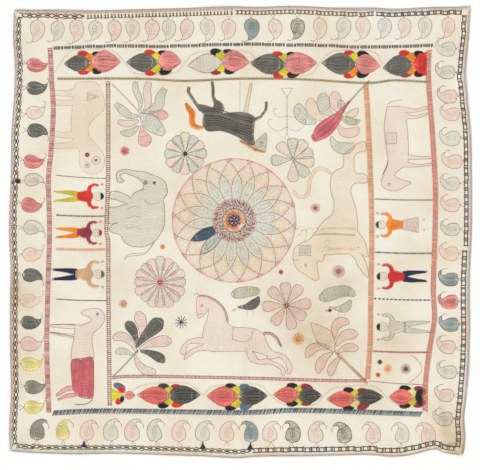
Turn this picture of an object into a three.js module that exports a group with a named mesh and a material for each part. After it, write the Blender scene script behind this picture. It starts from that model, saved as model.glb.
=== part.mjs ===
// Kantha quilt spread out on a flat surface: a few layers of soft worn cotton, stitched
// through all over into one limp sheet with a turned-in hem. It is a single piece of cloth.
// Units are millimetres. +Z is up, +X runs to the right along the top hem and +Y towards it.
// The origin is on the resting surface, under the middle of the sheet's box.
import * as THREE from 'three';

// Driving dimensions
const sheetWidth = 862;
const sheetHeight = 842;
const clothThickness = 2;

// Where the hem runs inside the sheet's box, one table for each side.
// at: place along the side, from its middle. inset: how far the hem lies inside the box there.
const leftHem = [
  { at: -421, inset: 2 },
  { at: -375, inset: 0 },
  { at: -320, inset: 3.8 },
  { at: -189, inset: 1.3 },
  { at: -78, inset: 3.2 },
  { at: -3, inset: 0 },
  { at: 108, inset: 3.6 },
  { at: 183, inset: 4.3 },
  { at: 257, inset: 9.3 },
  { at: 315, inset: 11.5 },
  { at: 370, inset: 7.5 },
  { at: 421, inset: 10 },
];
const rightHem = [
  { at: -421, inset: 18 },
  { at: -390, inset: 12.8 },
  { at: -349, inset: 14.5 },
  { at: -301, inset: 9.5 },
  { at: -189, inset: 3.8 },
  { at: -115, inset: 5.4 },
  { at: -3, inset: 0.6 },
  { at: 50, inset: 0 },
  { at: 108, inset: 0.4 },
  { at: 183, inset: 1.7 },
  { at: 257, inset: 9 },
  { at: 294, inset: 12.9 },
  { at: 369, inset: 5.4 },
  { at: 421, inset: 4 },
];
const topHem = [
  { at: -431, inset: 8 },
  { at: -380, inset: 7.3 },
  { at: -325, inset: 9 },
  { at: -232, inset: 7.1 },
  { at: -83, inset: 3.2 },
  { at: -8, inset: 1.2 },
  { at: 29, inset: 1.8 },
  { at: 103, inset: 0 },
  { at: 215, inset: 5.3 },
  { at: 252, inset: 4 },
  { at: 289, inset: 5.3 },
  { at: 364, inset: 1.8 },
  { at: 431, inset: 2 },
];
const bottomHem = [
  { at: -431, inset: 14 },
  { at: -380, inset: 9.4 },
  { at: -320, inset: 7.9 },
  { at: -232, inset: 8.1 },
  { at: -83, inset: 4 },
  { at: -8, inset: 0 },
  { at: 29, inset: 2.5 },
  { at: 178, inset: 4.7 },
  { at: 252, inset: 6 },
  { at: 289, inset: 2.7 },
  { at: 326, inset: 6 },
  { at: 379, inset: 16.8 },
  { at: 394, inset: 10 },
  { at: 431, inset: 6 },
];

// Soft rises where the cloth stands clear of the surface, each an oval dome.
// x, y: its middle. reach, halfWidth: its half sizes along and across. turn: degrees from +X.
const hemCockles = [
  { x: -424, y: 312, reach: 62, halfWidth: 40, turn: 90, rise: 4.5 },
  { x: -428, y: 60, reach: 70, halfWidth: 30, turn: 90, rise: 2.5 },
  { x: -430, y: -110, reach: 55, halfWidth: 28, turn: 90, rise: 3 },
  { x: -428, y: -318, reach: 60, halfWidth: 34, turn: 84, rise: 3.5 },
  { x: 422, y: 292, reach: 60, halfWidth: 42, turn: 90, rise: 5 },
  { x: 428, y: -118, reach: 60, halfWidth: 30, turn: 90, rise: 3 },
  { x: 421, y: -255, reach: 46, halfWidth: 32, turn: 96, rise: 3.2 },
  { x: -325, y: 414, reach: 70, halfWidth: 30, turn: 0, rise: 3 },
  { x: -40, y: 419, reach: 60, halfWidth: 24, turn: 0, rise: 2 },
  { x: 215, y: 417, reach: 60, halfWidth: 30, turn: 4, rise: 3.5 },
  { x: -300, y: -415, reach: 70, halfWidth: 28, turn: 0, rise: 2.5 },
  { x: -120, y: -418, reach: 60, halfWidth: 26, turn: -5, rise: 2.5 },
  { x: 120, y: -418, reach: 70, halfWidth: 28, turn: 3, rise: 3 },
  { x: 318, y: -416, reach: 46, halfWidth: 26, turn: 8, rise: 3 },
  { x: -421, y: -410, reach: 44, halfWidth: 30, turn: 45, rise: 3.5 },
  { x: -416, y: 410, reach: 40, halfWidth: 30, turn: -40, rise: 3 },
  { x: 424, y: 414, reach: 42, halfWidth: 30, turn: 50, rise: 3 },
];
const swells = [
  { x: -170, y: 70, reach: 120, halfWidth: 62, turn: 35, rise: 1.7 },
  { x: 200, y: -95, reach: 130, halfWidth: 78, turn: -20, rise: 2 },
  { x: -70, y: -235, reach: 130, halfWidth: 58, turn: 10, rise: 1.6 },
  { x: 240, y: 215, reach: 105, halfWidth: 60, turn: 60, rise: 1.5 },
  { x: -270, y: -175, reach: 92, halfWidth: 60, turn: 80, rise: 1.5 },
  { x: -230, y: 300, reach: 110, halfWidth: 48, turn: -8, rise: 1.4 },
];
// Two old fold lines, upright and level, where the quilt was kept folded in quarters.
// Each is uneven: three long domes that run into each other.
const foldCreases = [
  { x: 2, y: 262, reach: 190, halfWidth: 12, turn: 89.4, rise: 1.3 },
  { x: 0, y: -20, reach: 210, halfWidth: 12, turn: 90.3, rise: 1.5 },
  { x: 2, y: -300, reach: 200, halfWidth: 13, turn: 89.5, rise: 2 },
  { x: -262, y: 2, reach: 190, halfWidth: 12, turn: 0.4, rise: 0.9 },
  { x: 40, y: 1, reach: 230, halfWidth: 12, turn: -0.3, rise: 1.5 },
  { x: 312, y: 2, reach: 180, halfWidth: 13, turn: 0.3, rise: 1.2 },
];
// The gathered lower right corner: a pucker along the hem, the fold it sends up the sheet,
// and the corner that curls behind it
const cornerPucker = [
  { x: 386, y: -399, reach: 30, halfWidth: 9, turn: 6, rise: 8 },
  { x: 371, y: -350, reach: 66, halfWidth: 12, turn: 97, rise: 3.2 },
  { x: 400, y: -356, reach: 44, halfWidth: 13, turn: 78, rise: 2.4 },
  { x: 410, y: -408, reach: 24, halfWidth: 16, turn: 40, rise: 4.5 },
];
const rises = [...hemCockles, ...swells, ...foldCreases, ...cornerPucker];

// Grid lines of the sheet: close over the fold creases and the pucker, wide elsewhere
const columnSpans = [
  { from: -431, to: -15, step: 26 },
  { from: -15, to: 15, step: 5 },
  { from: 15, to: 345, step: 25 },
  { from: 345, to: 431, step: 6 },
];
const rowSpans = [
  { from: -421, to: -361, step: 5 },
  { from: -361, to: -15, step: 26 },
  { from: -15, to: 15, step: 5 },
  { from: 15, to: 421, step: 26 },
];

function gridLines(spans) {
  const lines = [spans[0].from];
  for (const { from, to, step } of spans) {
    const count = Math.round((to - from) / step);
    for (let i = 1; i <= count; i++) lines.push(from + ((to - from) * i) / count);
  }
  return lines;
}

// A smooth curve through a hem table's insets: each stretch is a cubic whose slopes are
// those of the chord between the neighbouring rows.
function insetAt(hem, at) {
  const last = hem.length - 1;
  const slope = (i) => {
    const before = hem[Math.max(i - 1, 0)];
    const after = hem[Math.min(i + 1, last)];
    return (after.inset - before.inset) / (after.at - before.at);
  };
  let i = 0;
  while (i < last - 1 && at > hem[i + 1].at) i++;
  const span = hem[i + 1].at - hem[i].at;
  const t = (at - hem[i].at) / span;
  const start = (1 + 2 * t) * (1 - t) ** 2;
  const startSlope = t * (1 - t) ** 2;
  const end = t * t * (3 - 2 * t);
  const endSlope = t * t * (t - 1);
  return start * hem[i].inset + end * hem[i + 1].inset
    + span * (startSlope * slope(i) + endSlope * slope(i + 1));
}

// How far the underside stands clear of the surface: the sum of the oval domes there
function clearance(x, y) {
  let total = 0;
  for (const { x: middleX, y: middleY, reach, halfWidth, turn, rise } of rises) {
    const angle = THREE.MathUtils.degToRad(turn);
    const along = (x - middleX) * Math.cos(angle) + (y - middleY) * Math.sin(angle);
    const across = (y - middleY) * Math.cos(angle) - (x - middleX) * Math.sin(angle);
    const outward = (along / reach) ** 2 + (across / halfWidth) ** 2;
    if (outward < 1) total += rise * (1 - outward) ** 2;
  }
  return total;
}

// A point of the sheet, from its place in the plain rectangle: each half is stretched to its hem
function placed(x, y) {
  const halfWidth = sheetWidth / 2;
  const halfHeight = sheetHeight / 2;
  const across = halfWidth - insetAt(x < 0 ? leftHem : rightHem, y);
  const up = halfHeight - insetAt(y < 0 ? bottomHem : topHem, x);
  return [(x / halfWidth) * across, (y / halfHeight) * up];
}

// The closed sheet: an underside and a top of the same grid, joined round the hem
function clothGeometry() {
  const columns = gridLines(columnSpans);
  const rows = gridLines(rowSpans);
  const perSide = columns.length * rows.length;
  const positions = [];
  for (const level of [0, clothThickness]) {
    for (const row of rows) {
      for (const column of columns) {
        const [x, y] = placed(column, row);
        positions.push(x, y, level + clearance(x, y));
      }
    }
  }

  const at = (i, j) => j * columns.length + i;
  const faces = [];
  const quad = (a, b, c, d) => faces.push(a, b, c, a, c, d);
  const right = columns.length - 1;
  const back = rows.length - 1;
  for (let j = 0; j < back; j++) {
    for (let i = 0; i < right; i++) {
      const corners = [at(i, j), at(i + 1, j), at(i + 1, j + 1), at(i, j + 1)];
      quad(...corners.map((corner) => corner + perSide));
      quad(...corners.reverse());
    }
  }
  const hemWall = (a, b) => quad(a, b, b + perSide, a + perSide);
  for (let i = 0; i < right; i++) {
    hemWall(at(i, 0), at(i + 1, 0));
    hemWall(at(i + 1, back), at(i, back));
  }
  for (let j = 0; j < back; j++) {
    hemWall(at(right, j), at(right, j + 1));
    hemWall(at(0, j + 1), at(0, j));
  }

  const geometry = new THREE.BufferGeometry();
  geometry.setAttribute('position', new THREE.Float32BufferAttribute(positions, 3));
  geometry.setIndex(faces);
  geometry.computeVertexNormals();
  return geometry;
}

const wornCotton = new THREE.MeshStandardMaterial({ color: '#e8dec8', roughness: 0.95, metalness: 0 });

const quiltCloth = new THREE.Mesh(clothGeometry(), wornCotton);
quiltCloth.name = 'quilt_cloth';

const kanthaQuilt = new THREE.Group();
kanthaQuilt.add(quiltCloth);

export default kanthaQuilt;
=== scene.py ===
import bpy
import numpy as np
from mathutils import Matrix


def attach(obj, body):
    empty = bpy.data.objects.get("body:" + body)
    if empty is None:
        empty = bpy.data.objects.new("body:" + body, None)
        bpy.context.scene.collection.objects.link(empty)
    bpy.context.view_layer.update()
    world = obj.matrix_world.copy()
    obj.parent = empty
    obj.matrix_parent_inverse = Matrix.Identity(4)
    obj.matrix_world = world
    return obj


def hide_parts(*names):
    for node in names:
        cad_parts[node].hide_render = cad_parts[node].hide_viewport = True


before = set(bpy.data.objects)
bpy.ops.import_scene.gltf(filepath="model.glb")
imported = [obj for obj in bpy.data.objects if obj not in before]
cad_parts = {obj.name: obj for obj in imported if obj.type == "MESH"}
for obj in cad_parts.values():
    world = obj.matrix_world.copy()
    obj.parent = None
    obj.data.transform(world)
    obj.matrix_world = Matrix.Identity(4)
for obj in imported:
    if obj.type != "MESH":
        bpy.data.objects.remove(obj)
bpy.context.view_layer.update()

# A kantha is a square quilt of worn white cotton, embroidered all over in coloured cotton.
# It lies flat, face up. Places and sizes below are millimetres on the quilt, seen from above:
# x runs to the right and y towards the top hem, from the middle. Meshes are in metres.
MM = 0.001

# Camera: the quilt is seen face on, from straight above, through a long lens.
# One pixel of the 480 by 470 image is 1.86 mm of quilt, which settles the height.
pixel_mm = 1.86
image_width_px = 480
lens_mm = 100
sensor_mm = 36
camera_height_mm = pixel_mm * image_width_px * lens_mm / sensor_mm
image_middle_mm = (-1, -5)

camera_data = bpy.data.cameras.new("overhead_camera")
camera_data.lens = lens_mm
camera_data.sensor_width = sensor_mm
camera_data.clip_end = 50
camera = bpy.data.objects.new("overhead_camera", camera_data)
camera.location = [value * MM for value in (*image_middle_mm, camera_height_mm)]
bpy.context.scene.collection.objects.link(camera)
bpy.context.scene.camera = camera
bpy.context.scene.view_settings.view_transform = "Standard"


# Light: an even white room, and one broad soft lamp from the upper left that is just strong
# enough to model the creases and the raised stitches.
room_strength = 0.72
lamp_strength = 1.5
lamp_turn_degrees = (32, -24, 0)
lamp_spread_degrees = 14

room = bpy.data.worlds.new("white_room")
room.use_nodes = True
backdrop = room.node_tree.nodes["Background"]
backdrop.inputs["Color"].default_value = (1, 1, 1, 1)
backdrop.inputs["Strength"].default_value = room_strength
bpy.context.scene.world = room

lamp_data = bpy.data.lights.new("soft_lamp", "SUN")
lamp_data.energy = lamp_strength
lamp_data.angle = np.radians(lamp_spread_degrees)
lamp = bpy.data.objects.new("soft_lamp", lamp_data)
lamp.rotation_euler = np.radians(lamp_turn_degrees)
bpy.context.scene.collection.objects.link(lamp)


# Floor: a wide white board under the quilt, matt painted, so that it photographs as white.
floor_half_mm = 6000
floor_hex = "#F8F8F8"
floor_tone_hex = "#F3F3F2"
board_noise_scale = 3


def node(tree, kind, inputs=None, **settings):
    """Adds a node. Settings are its own properties; inputs are values, or sockets to link from."""
    made = tree.nodes.new(kind)
    for name, value in settings.items():
        setattr(made, name, value)
    for name, value in (inputs or {}).items():
        if isinstance(value, bpy.types.NodeSocket):
            tree.links.new(value, made.inputs[name])
        else:
            made.inputs[name].default_value = value
    return made


def linear(colour_hex):
    """An sRGB hex colour as linear red, green, blue and alpha."""
    parts = np.array([int(colour_hex[i:i + 2], 16) for i in (1, 3, 5)]) / 255
    low = parts / 12.92
    high = ((parts + 0.055) / 1.055) ** 2.4
    return (*np.where(parts > 0.04045, high, low), 1.0)


def joined_mesh(name, points, faces, material):
    """A mesh object from points in millimetres and triangles of point numbers, shaded smooth."""
    mesh = bpy.data.meshes.new(name)
    mesh.vertices.add(len(points))
    mesh.vertices.foreach_set("co", (points * MM).astype(np.float32).ravel())
    mesh.loops.add(faces.size)
    mesh.loops.foreach_set("vertex_index", faces.astype(np.int32).ravel())
    mesh.polygons.add(len(faces))
    mesh.polygons.foreach_set("loop_start", np.arange(0, faces.size, 3, dtype=np.int32))
    mesh.polygons.foreach_set("use_smooth", np.ones(len(faces), bool))
    mesh.update(calc_edges=True)
    mesh.materials.append(material)
    piece = bpy.data.objects.new(name, mesh)
    bpy.context.scene.collection.objects.link(piece)
    return piece


def surface_material(name):
    """A new node material, with its node tree, its Principled BSDF and the Object coordinates."""
    material = bpy.data.materials.new(name)
    material.use_nodes = True
    tree = material.node_tree
    place = node(tree, "ShaderNodeTexCoord").outputs["Object"]
    return material, tree, tree.nodes["Principled BSDF"], place


def painted_board():
    """Matt white paint on board: nearly even, with a slow drift of tone from the roller."""
    material, tree, shader, place = surface_material("matt_white_board")
    drift = node(tree, "ShaderNodeTexNoise", {"Vector": place, "Scale": board_noise_scale})
    tone = node(tree, "ShaderNodeMix", {
        "Factor": drift.outputs["Fac"], "A": linear(floor_hex), "B": linear(floor_tone_hex),
    }, data_type="RGBA")
    tree.links.new(tone.outputs["Result"], shader.inputs["Base Color"])
    shader.inputs["Roughness"].default_value = 0.9
    return material


floor_corners = np.array([(-1, -1, 0), (1, -1, 0), (1, 1, 0), (-1, 1, 0)]) * floor_half_mm
floor = joined_mesh("floor_board", floor_corners, np.array([(0, 1, 2), (0, 2, 3)]), painted_board())


# The cloth: three or four layers of old white cotton saris, laid together, turned in at the
# hems and quilted through all over. It lies limp, with cockled hems, two fold lines from
# being kept in quarters, and a lower right corner gathered by its tight stitching.
sheet_width = 862
sheet_height = 842
cloth_thickness = 2.0
hem_roundness = 0.7  # how far the faces stop short of the hem's rounded edge
fine_cells = (264, 256)  # about 3.3 mm each, on the face
cells_to_one_below = 4  # the plain underside is coarser
quilting_row_mm = 5.0
pucker_mm = 0.12  # height of the small puckers between the rows of quilting
grey_band_middle_mm = 3.5  # how far inside the hem a greyer band of the cloth is strongest
grey_band_reach_mm = 6  # in which that greyer band would fade by its full strength

# Where each hem runs: place along the side, how far it lies inside the sheet's box
left_hem = (
    (-421, 2), (-375, 0), (-320, 3.8), (-189, 1.3), (-78, 3.2), (-3, 0), (108, 3.6),
    (183, 4.3), (257, 9.3), (315, 11.5), (370, 7.5), (421, 10),
)
right_hem = (
    (-421, 18), (-390, 12.8), (-349, 14.5), (-301, 9.5), (-189, 3.8), (-115, 5.4), (-3, 0.6),
    (50, 0), (108, 0.4), (183, 1.7), (257, 9), (294, 12.9), (369, 5.4), (421, 4),
)
top_hem = (
    (-431, 8), (-380, 7.3), (-325, 9), (-232, 7.1), (-83, 3.2), (-8, 1.2), (29, 1.8),
    (103, 0), (215, 5.3), (252, 4), (289, 5.3), (364, 1.8), (431, 2),
)
bottom_hem = (
    (-431, 14), (-380, 9.4), (-320, 7.9), (-232, 8.1), (-83, 4), (-8, 0), (29, 2.5),
    (178, 4.7), (252, 6), (289, 2.7), (326, 6), (379, 16.8), (394, 10), (431, 6),
)

# Soft rises of the cloth, each an oval dome: x, y, reach, half width, turn in degrees, rise
hem_cockles = (
    (-424, 312, 62, 40, 90, 4.5), (-428, 60, 70, 30, 90, 2.5), (-430, -110, 55, 28, 90, 3),
    (-428, -318, 60, 34, 84, 3.5), (422, 292, 60, 42, 90, 5), (428, -118, 60, 30, 90, 3),
    (421, -255, 46, 32, 96, 3.2), (-325, 414, 70, 30, 0, 3), (-40, 419, 60, 24, 0, 2),
    (215, 417, 60, 30, 4, 3.5), (-300, -415, 70, 28, 0, 2.5), (-120, -418, 60, 26, -5, 2.5),
    (120, -418, 70, 28, 3, 3), (318, -416, 46, 26, 8, 3), (-421, -410, 44, 30, 45, 3.5),
    (-416, 410, 40, 30, -40, 3), (424, 414, 42, 30, 50, 3),
)
swells = (
    (-170, 70, 120, 62, 35, 1.7), (200, -95, 130, 78, -20, 2), (-70, -235, 130, 58, 10, 1.6),
    (240, 215, 105, 60, 60, 1.5), (-270, -175, 92, 60, 80, 1.5), (-230, 300, 110, 48, -8, 1.4),
)
fold_creases = (
    (2, 262, 190, 12, 89.4, 1.3), (0, -20, 210, 12, 90.3, 1.5), (2, -300, 200, 13, 89.5, 2),
    (-262, 2, 190, 12, 0.4, 0.9), (40, 1, 230, 12, -0.3, 1.5), (312, 2, 180, 13, 0.3, 1.2),
)
corner_pucker = (
    (386, -399, 30, 9, 6, 8), (371, -350, 66, 12, 97, 3.2), (400, -356, 44, 13, 78, 2.4),
    (410, -408, 24, 16, 40, 4.5),
)
# Slighter creases, on the cloth's face alone
slight_creases = (
    (-107, -232, 52, 7, 88, 0.7), (-36, -205, 46, 7, 92, 0.6), (373, -250, 60, 8, 86, 0.8),
    (222, -372, 44, 8, 84, 0.7), (-355, -372, 40, 7, 92, 0.6), (60, -345, 60, 7, 4, 0.5),
    (-330, 150, 60, 8, 8, 0.6), (300, 140, 70, 8, -6, 0.6), (130, 232, 60, 7, 80, 0.5),
    (-290, -60, 60, 7, 95, 0.6), (290, -60, 64, 8, 12, 0.6), (-150, 190, 70, 8, -12, 0.5),
    (200, 330, 66, 8, 2, 0.6), (-60, 330, 60, 8, -3, 0.5), (330, -395, 34, 5, 60, 1.2),
    (352, -385, 30, 5, 75, 1.4), (404, -300, 44, 7, 84, 0.9),
)

# Brown water and age stains, and at the gathered lower right corner a brown tone that is partly stain
# and partly painted shade of its pucker and crease: x, y, radius, strength
stains_and_corner_shade = (
    (-424, -118, 48, 0.9), (-412, -222, 58, 0.6), (-395, -392, 36, 0.45), (76, -120, 52, 0.5),
    (112, -182, 60, 0.75), (186, -104, 42, 0.6), (170, -214, 66, 0.7), (276, -206, 46, 0.55),
    # The two at the lower right corner, at 392, -366 and 402, -408, are partly painted shade of the
    # pucker and its crease
    (392, -366, 44, 1.0), (402, -408, 26, 0.9), (-330, 398, 60, 0.3), (-118, -118, 34, 0.25),
    (20, 318, 40, 0.25), (-226, -92, 40, 0.3), (352, 60, 50, 0.2), (-60, -330, 50, 0.3),
    (262, 330, 60, 0.25), (240, -318, 40, 0.3),
)


def hem_inset(hem, place):
    """A smooth curve through a hem table: cubic stretches, each slope that of the chord
    between the neighbouring rows."""
    at, inset = np.array(hem, float).T
    before = np.maximum(np.arange(len(at)) - 1, 0)
    after = np.minimum(np.arange(len(at)) + 1, len(at) - 1)
    slope = (inset[after] - inset[before]) / (at[after] - at[before])
    i = np.clip(np.searchsorted(at, place) - 1, 0, len(at) - 2)
    span = at[i + 1] - at[i]
    t = (place - at[i]) / span
    ends = (1 + 2 * t) * (1 - t) ** 2 * inset[i] + t * t * (3 - 2 * t) * inset[i + 1]
    return ends + span * (t * (1 - t) ** 2 * slope[i] + t * t * (t - 1) * slope[i + 1])


def hem_reach(x, y):
    """How far the hems lie from the sheet's middle beside points, to the sides and up or down."""
    across = sheet_width / 2 - np.where(x < 0, hem_inset(left_hem, y), hem_inset(right_hem, y))
    up = sheet_height / 2 - np.where(y < 0, hem_inset(bottom_hem, x), hem_inset(top_hem, x))
    return across, up


def on_sheet(x, y):
    """Points of a plain rectangle moved to where they lie: each half is stretched to its hem."""
    across, up = hem_reach(x, y)
    return x / (sheet_width / 2) * across, y / (sheet_height / 2) * up


def from_hem(x, y):
    """How far points lie inside the nearest hem."""
    across, up = hem_reach(x, y)
    return np.minimum(across - np.abs(x), up - np.abs(y))


def domes(table, x, y):
    """The sum of oval domes at points: each is its rise times (1 - r squared) squared, where
    r is the distance from its middle in half sizes, and nothing past r = 1."""
    total = np.zeros(np.shape(x))
    for middle_x, middle_y, reach, half_width, turn, rise in table:
        angle = np.radians(turn)
        along = (x - middle_x) * np.cos(angle) + (y - middle_y) * np.sin(angle)
        across = (y - middle_y) * np.cos(angle) - (x - middle_x) * np.sin(angle)
        outward = (along / reach) ** 2 + (across / half_width) ** 2
        total += rise * np.clip(1 - outward, 0, None) ** 2
    return total


def underside(x, y):
    """How far the underside stands clear of the floor."""
    return domes(hem_cockles + swells + fold_creases + corner_pucker, x, y)


def face_height(x, y):
    """The embroidered face: the underside's folds, the thickness, slight creases, and the
    small uneven puckers that hand quilting draws in, as three crossed waves."""
    puckers = (
        np.sin(x / 4.1 + 2.2 * np.sin(y / 37) + y / 23)
        * np.sin(y / 4.7 + 2.0 * np.sin(x / 31) - x / 29)
        + 0.6 * np.sin((x + y) / 13 + 1.7 * np.sin(y / 19))
    )
    return underside(x, y) + cloth_thickness + domes(slight_creases, x, y) + pucker_mm * puckers


def two_triangles(a, b, c, d):
    """Two triangles for each four-cornered cell, given arrays of its corners in turn."""
    return np.concatenate([np.stack([a, b, c], -1), np.stack([a, c, d], -1)]).reshape(-1, 3)


def grid_faces(numbers):
    """Triangles over a grid of point numbers, facing up."""
    corners = numbers[:-1, :-1], numbers[:-1, 1:], numbers[1:, 1:], numbers[1:, :-1]
    return two_triangles(*(corner.ravel() for corner in corners))


def border_of(grid):
    """The edge values of a grid in order round it, anticlockwise from its lower left."""
    return np.concatenate([grid[0, :-1], grid[:-1, -1], grid[-1, :0:-1], grid[:0:-1, 0]])


def grid_points(cells_across, cells_up):
    """A grid over the sheet as it lies, and the same with its border drawn in from the hem."""
    across = np.linspace(-sheet_width / 2, sheet_width / 2, cells_across + 1)
    up = np.linspace(-sheet_height / 2, sheet_height / 2, cells_up + 1)
    x, y = on_sheet(*np.meshgrid(across, up))
    drawn_x, drawn_y = x.copy(), y.copy()
    drawn_x[:, [0, -1]] += np.array([hem_roundness, -hem_roundness])
    drawn_y[[0, -1], :] += np.array([[hem_roundness], [-hem_roundness]])
    return (x, y), (drawn_x, drawn_y)


def cloth_mesh():
    """A closed sheet: a fine face, a coarse underside, and a rounded hem between them that
    runs out to the outline half way down. The hem's last strip fans from fine to coarse."""
    (x, y), (face_x, face_y) = grid_points(*fine_cells)
    hem_x, hem_y = border_of(x), border_of(y)
    below_cells = (fine_cells[0] // cells_to_one_below, fine_cells[1] // cells_to_one_below)
    _, (below_x, below_y) = grid_points(*below_cells)
    points = np.concatenate([
        np.stack([face_x, face_y, face_height(face_x, face_y)], -1).reshape(-1, 3),
        np.stack([hem_x, hem_y, underside(hem_x, hem_y) + cloth_thickness / 2], -1),
        np.stack([below_x, below_y, underside(below_x, below_y)], -1).reshape(-1, 3),
    ])

    face = np.arange(face_x.size).reshape(face_x.shape)
    hem = face.size + np.arange(hem_x.size)
    below = face.size + hem.size + np.arange(below_x.size).reshape(below_x.shape)
    rim, foot = border_of(face), border_of(below)
    fine_next = np.roll(hem, -1)
    foot_of = np.repeat(foot, cells_to_one_below)
    faces = np.concatenate([
        grid_faces(face),
        two_triangles(hem, fine_next, np.roll(rim, -1), rim),
        np.stack([foot_of, fine_next, hem], -1),
        np.stack([foot, np.roll(foot, -1), np.roll(hem[::cells_to_one_below], -1)], -1),
        grid_faces(below)[:, ::-1],
    ])
    return points, faces


def worn_white_cotton():
    """Old washed cotton, plain woven, quilted: matt and soft, cream with brown stains, which at the
    gathered lower right corner also carry painted shade, a greyer band just inside the hem, with
    slubs in both directions and puffs between its rows of stitches. The real weave has about
    25 threads a centimetre, too fine to show here, so it is drawn three times as coarse."""
    clean_hex = "#EAE6D7"
    aged_hex = "#E4D8C0"
    stain_and_shade_hex = "#C4A676"
    grey_band_hex = "#B8A79A"
    puff_mm = 0.1
    slub_mm = 0.12
    weave_mm = 1.2
    wave_repeat = 0.314  # how far apart the bands of a wave texture of scale 1 lie
    stray_turn = 16.0  # how far the mottle moves the puffs from even distances, in radians

    material, tree, shader, place = surface_material("worn_white_cotton")
    stain_and_shade_fac = node(tree, "ShaderNodeAttribute", attribute_name="stain_and_shade").outputs["Fac"]
    from_motif = node(tree, "ShaderNodeAttribute", attribute_name="echo").outputs["Fac"]
    grey_band = node(tree, "ShaderNodeAttribute", attribute_name="grey_band").outputs["Fac"]

    age = node(tree, "ShaderNodeTexNoise", {"Vector": place, "Scale": 9, "Detail": 5})
    age_tone = node(tree, "ShaderNodeMapRange", {
        "Value": age.outputs["Fac"], "From Min": 0.36, "From Max": 0.68,
    })
    mottle = node(tree, "ShaderNodeTexNoise", {"Vector": place, "Scale": 42, "Detail": 6})
    mottled_stain_and_shade = node(tree, "ShaderNodeMath", {
        0: stain_and_shade_fac, 1: mottle.outputs["Fac"],
    }, operation="MULTIPLY")
    ground = node(tree, "ShaderNodeMix", {
        "Factor": age_tone.outputs["Result"], "A": linear(clean_hex), "B": linear(aged_hex),
    }, data_type="RGBA")
    # Brown stains; at the gathered lower right corner the same brown is partly painted shade
    stained_and_shaded_ground = node(tree, "ShaderNodeMix", {
        "Factor": mottled_stain_and_shade.outputs["Value"],
        "A": ground.outputs["Result"], "B": linear(stain_and_shade_hex),
    }, data_type="RGBA")
    # A greyer band of the cloth just inside the hem
    grey_banded_ground = node(tree, "ShaderNodeMix", {
        "Factor": grey_band, "A": stained_and_shaded_ground.outputs["Result"], "B": linear(grey_band_hex),
    }, data_type="RGBA")

    slubs = []
    for stretch in ((60, 900, 60), (900, 60, 60)):
        stretched = node(tree, "ShaderNodeMapping", {"Vector": place, "Scale": stretch})
        slub = node(tree, "ShaderNodeTexNoise", {
            "Vector": stretched.outputs["Vector"], "Scale": 1, "Detail": 3,
        })
        slubs.append(slub.outputs["Fac"])
    both_slubs = node(tree, "ShaderNodeMath", {0: slubs[0], 1: slubs[1]}, operation="ADD")
    slub_tone = node(tree, "ShaderNodeMapRange", {
        "Value": both_slubs.outputs["Value"], "From Min": 0.6, "From Max": 1.4,
        "To Min": 0.93, "To Max": 1.06,
    })
    colour = node(tree, "ShaderNodeVectorMath", {
        0: grey_banded_ground.outputs["Result"], 1: slub_tone.outputs["Result"],
    }, operation="MULTIPLY")
    tree.links.new(colour.outputs["Vector"], shader.inputs["Base Color"])

    turns = node(tree, "ShaderNodeMath", {
        0: from_motif, 1: 2 * np.pi / quilting_row_mm,
    }, operation="MULTIPLY")
    stray = node(tree, "ShaderNodeMath", {
        0: mottle.outputs["Fac"], 1: stray_turn, 2: turns.outputs["Value"],
    }, operation="MULTIPLY_ADD")
    rows = node(tree, "ShaderNodeMath", {0: stray.outputs["Value"]}, operation="COSINE")
    puffs = node(tree, "ShaderNodeBump", {
        "Height": rows.outputs["Value"], "Strength": 1, "Distance": puff_mm / 2 * MM,
    })
    weave_height = []
    for direction in ("X", "Y"):
        wave = node(tree, "ShaderNodeTexWave", {
            "Vector": place, "Scale": wave_repeat / (weave_mm * MM), "Distortion": 1.5, "Detail": 1,
        }, bands_direction=direction)
        weave_height.append(wave.outputs["Fac"])
    weave = node(tree, "ShaderNodeMath", {0: weave_height[0], 1: weave_height[1]}, operation="ADD")
    cloth_grain = node(tree, "ShaderNodeMath", {
        0: weave.outputs["Value"], 1: both_slubs.outputs["Value"],
    }, operation="ADD")
    grain = node(tree, "ShaderNodeBump", {
        "Height": cloth_grain.outputs["Value"], "Strength": 0.5, "Distance": slub_mm * MM,
        "Normal": puffs.outputs["Normal"],
    })
    tree.links.new(grain.outputs["Normal"], shader.inputs["Normal"])
    shader.inputs["Roughness"].default_value = 0.93
    shader.inputs["IOR"].default_value = 1.5
    shader.inputs["Specular IOR Level"].default_value = 0.25
    shader.inputs["Sheen Weight"].default_value = 0.12
    shader.inputs["Sheen Roughness"].default_value = 0.5
    return material


def flat_map(piece):
    """Gives a piece the flat map of its own x and y, which suits its top and its underside."""
    mesh = piece.data
    corners = np.empty(len(mesh.vertices) * 3, np.float32)
    mesh.vertices.foreach_get("co", corners)
    flat = corners.reshape(-1, 3)[:, :2]
    spread = (flat - flat.min(0)) / (flat.max(0) - flat.min(0)).max()
    numbers = np.empty(len(mesh.loops), np.int32)
    mesh.loops.foreach_get("vertex_index", numbers)
    mesh.uv_layers.new(name="OFBake").uv.foreach_set("vector", spread[numbers].ravel())


def add_values(piece, name, values):
    """One number for each point of a piece, for its material to read."""
    piece.data.attributes.new(name, "FLOAT", "POINT").data.foreach_set(
        "value", values.astype(np.float32)
    )


cloth_points, cloth_faces = cloth_mesh()
cloth = joined_mesh("quilt_cloth_sheet", cloth_points, cloth_faces, worn_white_cotton())
flat_map(cloth)

# Brown stains, with painted shade of the corner pucker mixed into the two at the lower right
stain_and_shade_amount = np.zeros(len(cloth_points))
for spot_x, spot_y, radius, strength in stains_and_corner_shade:
    away = ((cloth_points[:, 0] - spot_x) ** 2 + (cloth_points[:, 1] - spot_y) ** 2) / radius ** 2
    stain_and_shade_amount += strength * np.exp(-away * 1.6)
add_values(cloth, "stain_and_shade", np.clip(stain_and_shade_amount, 0, 1.3))
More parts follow.
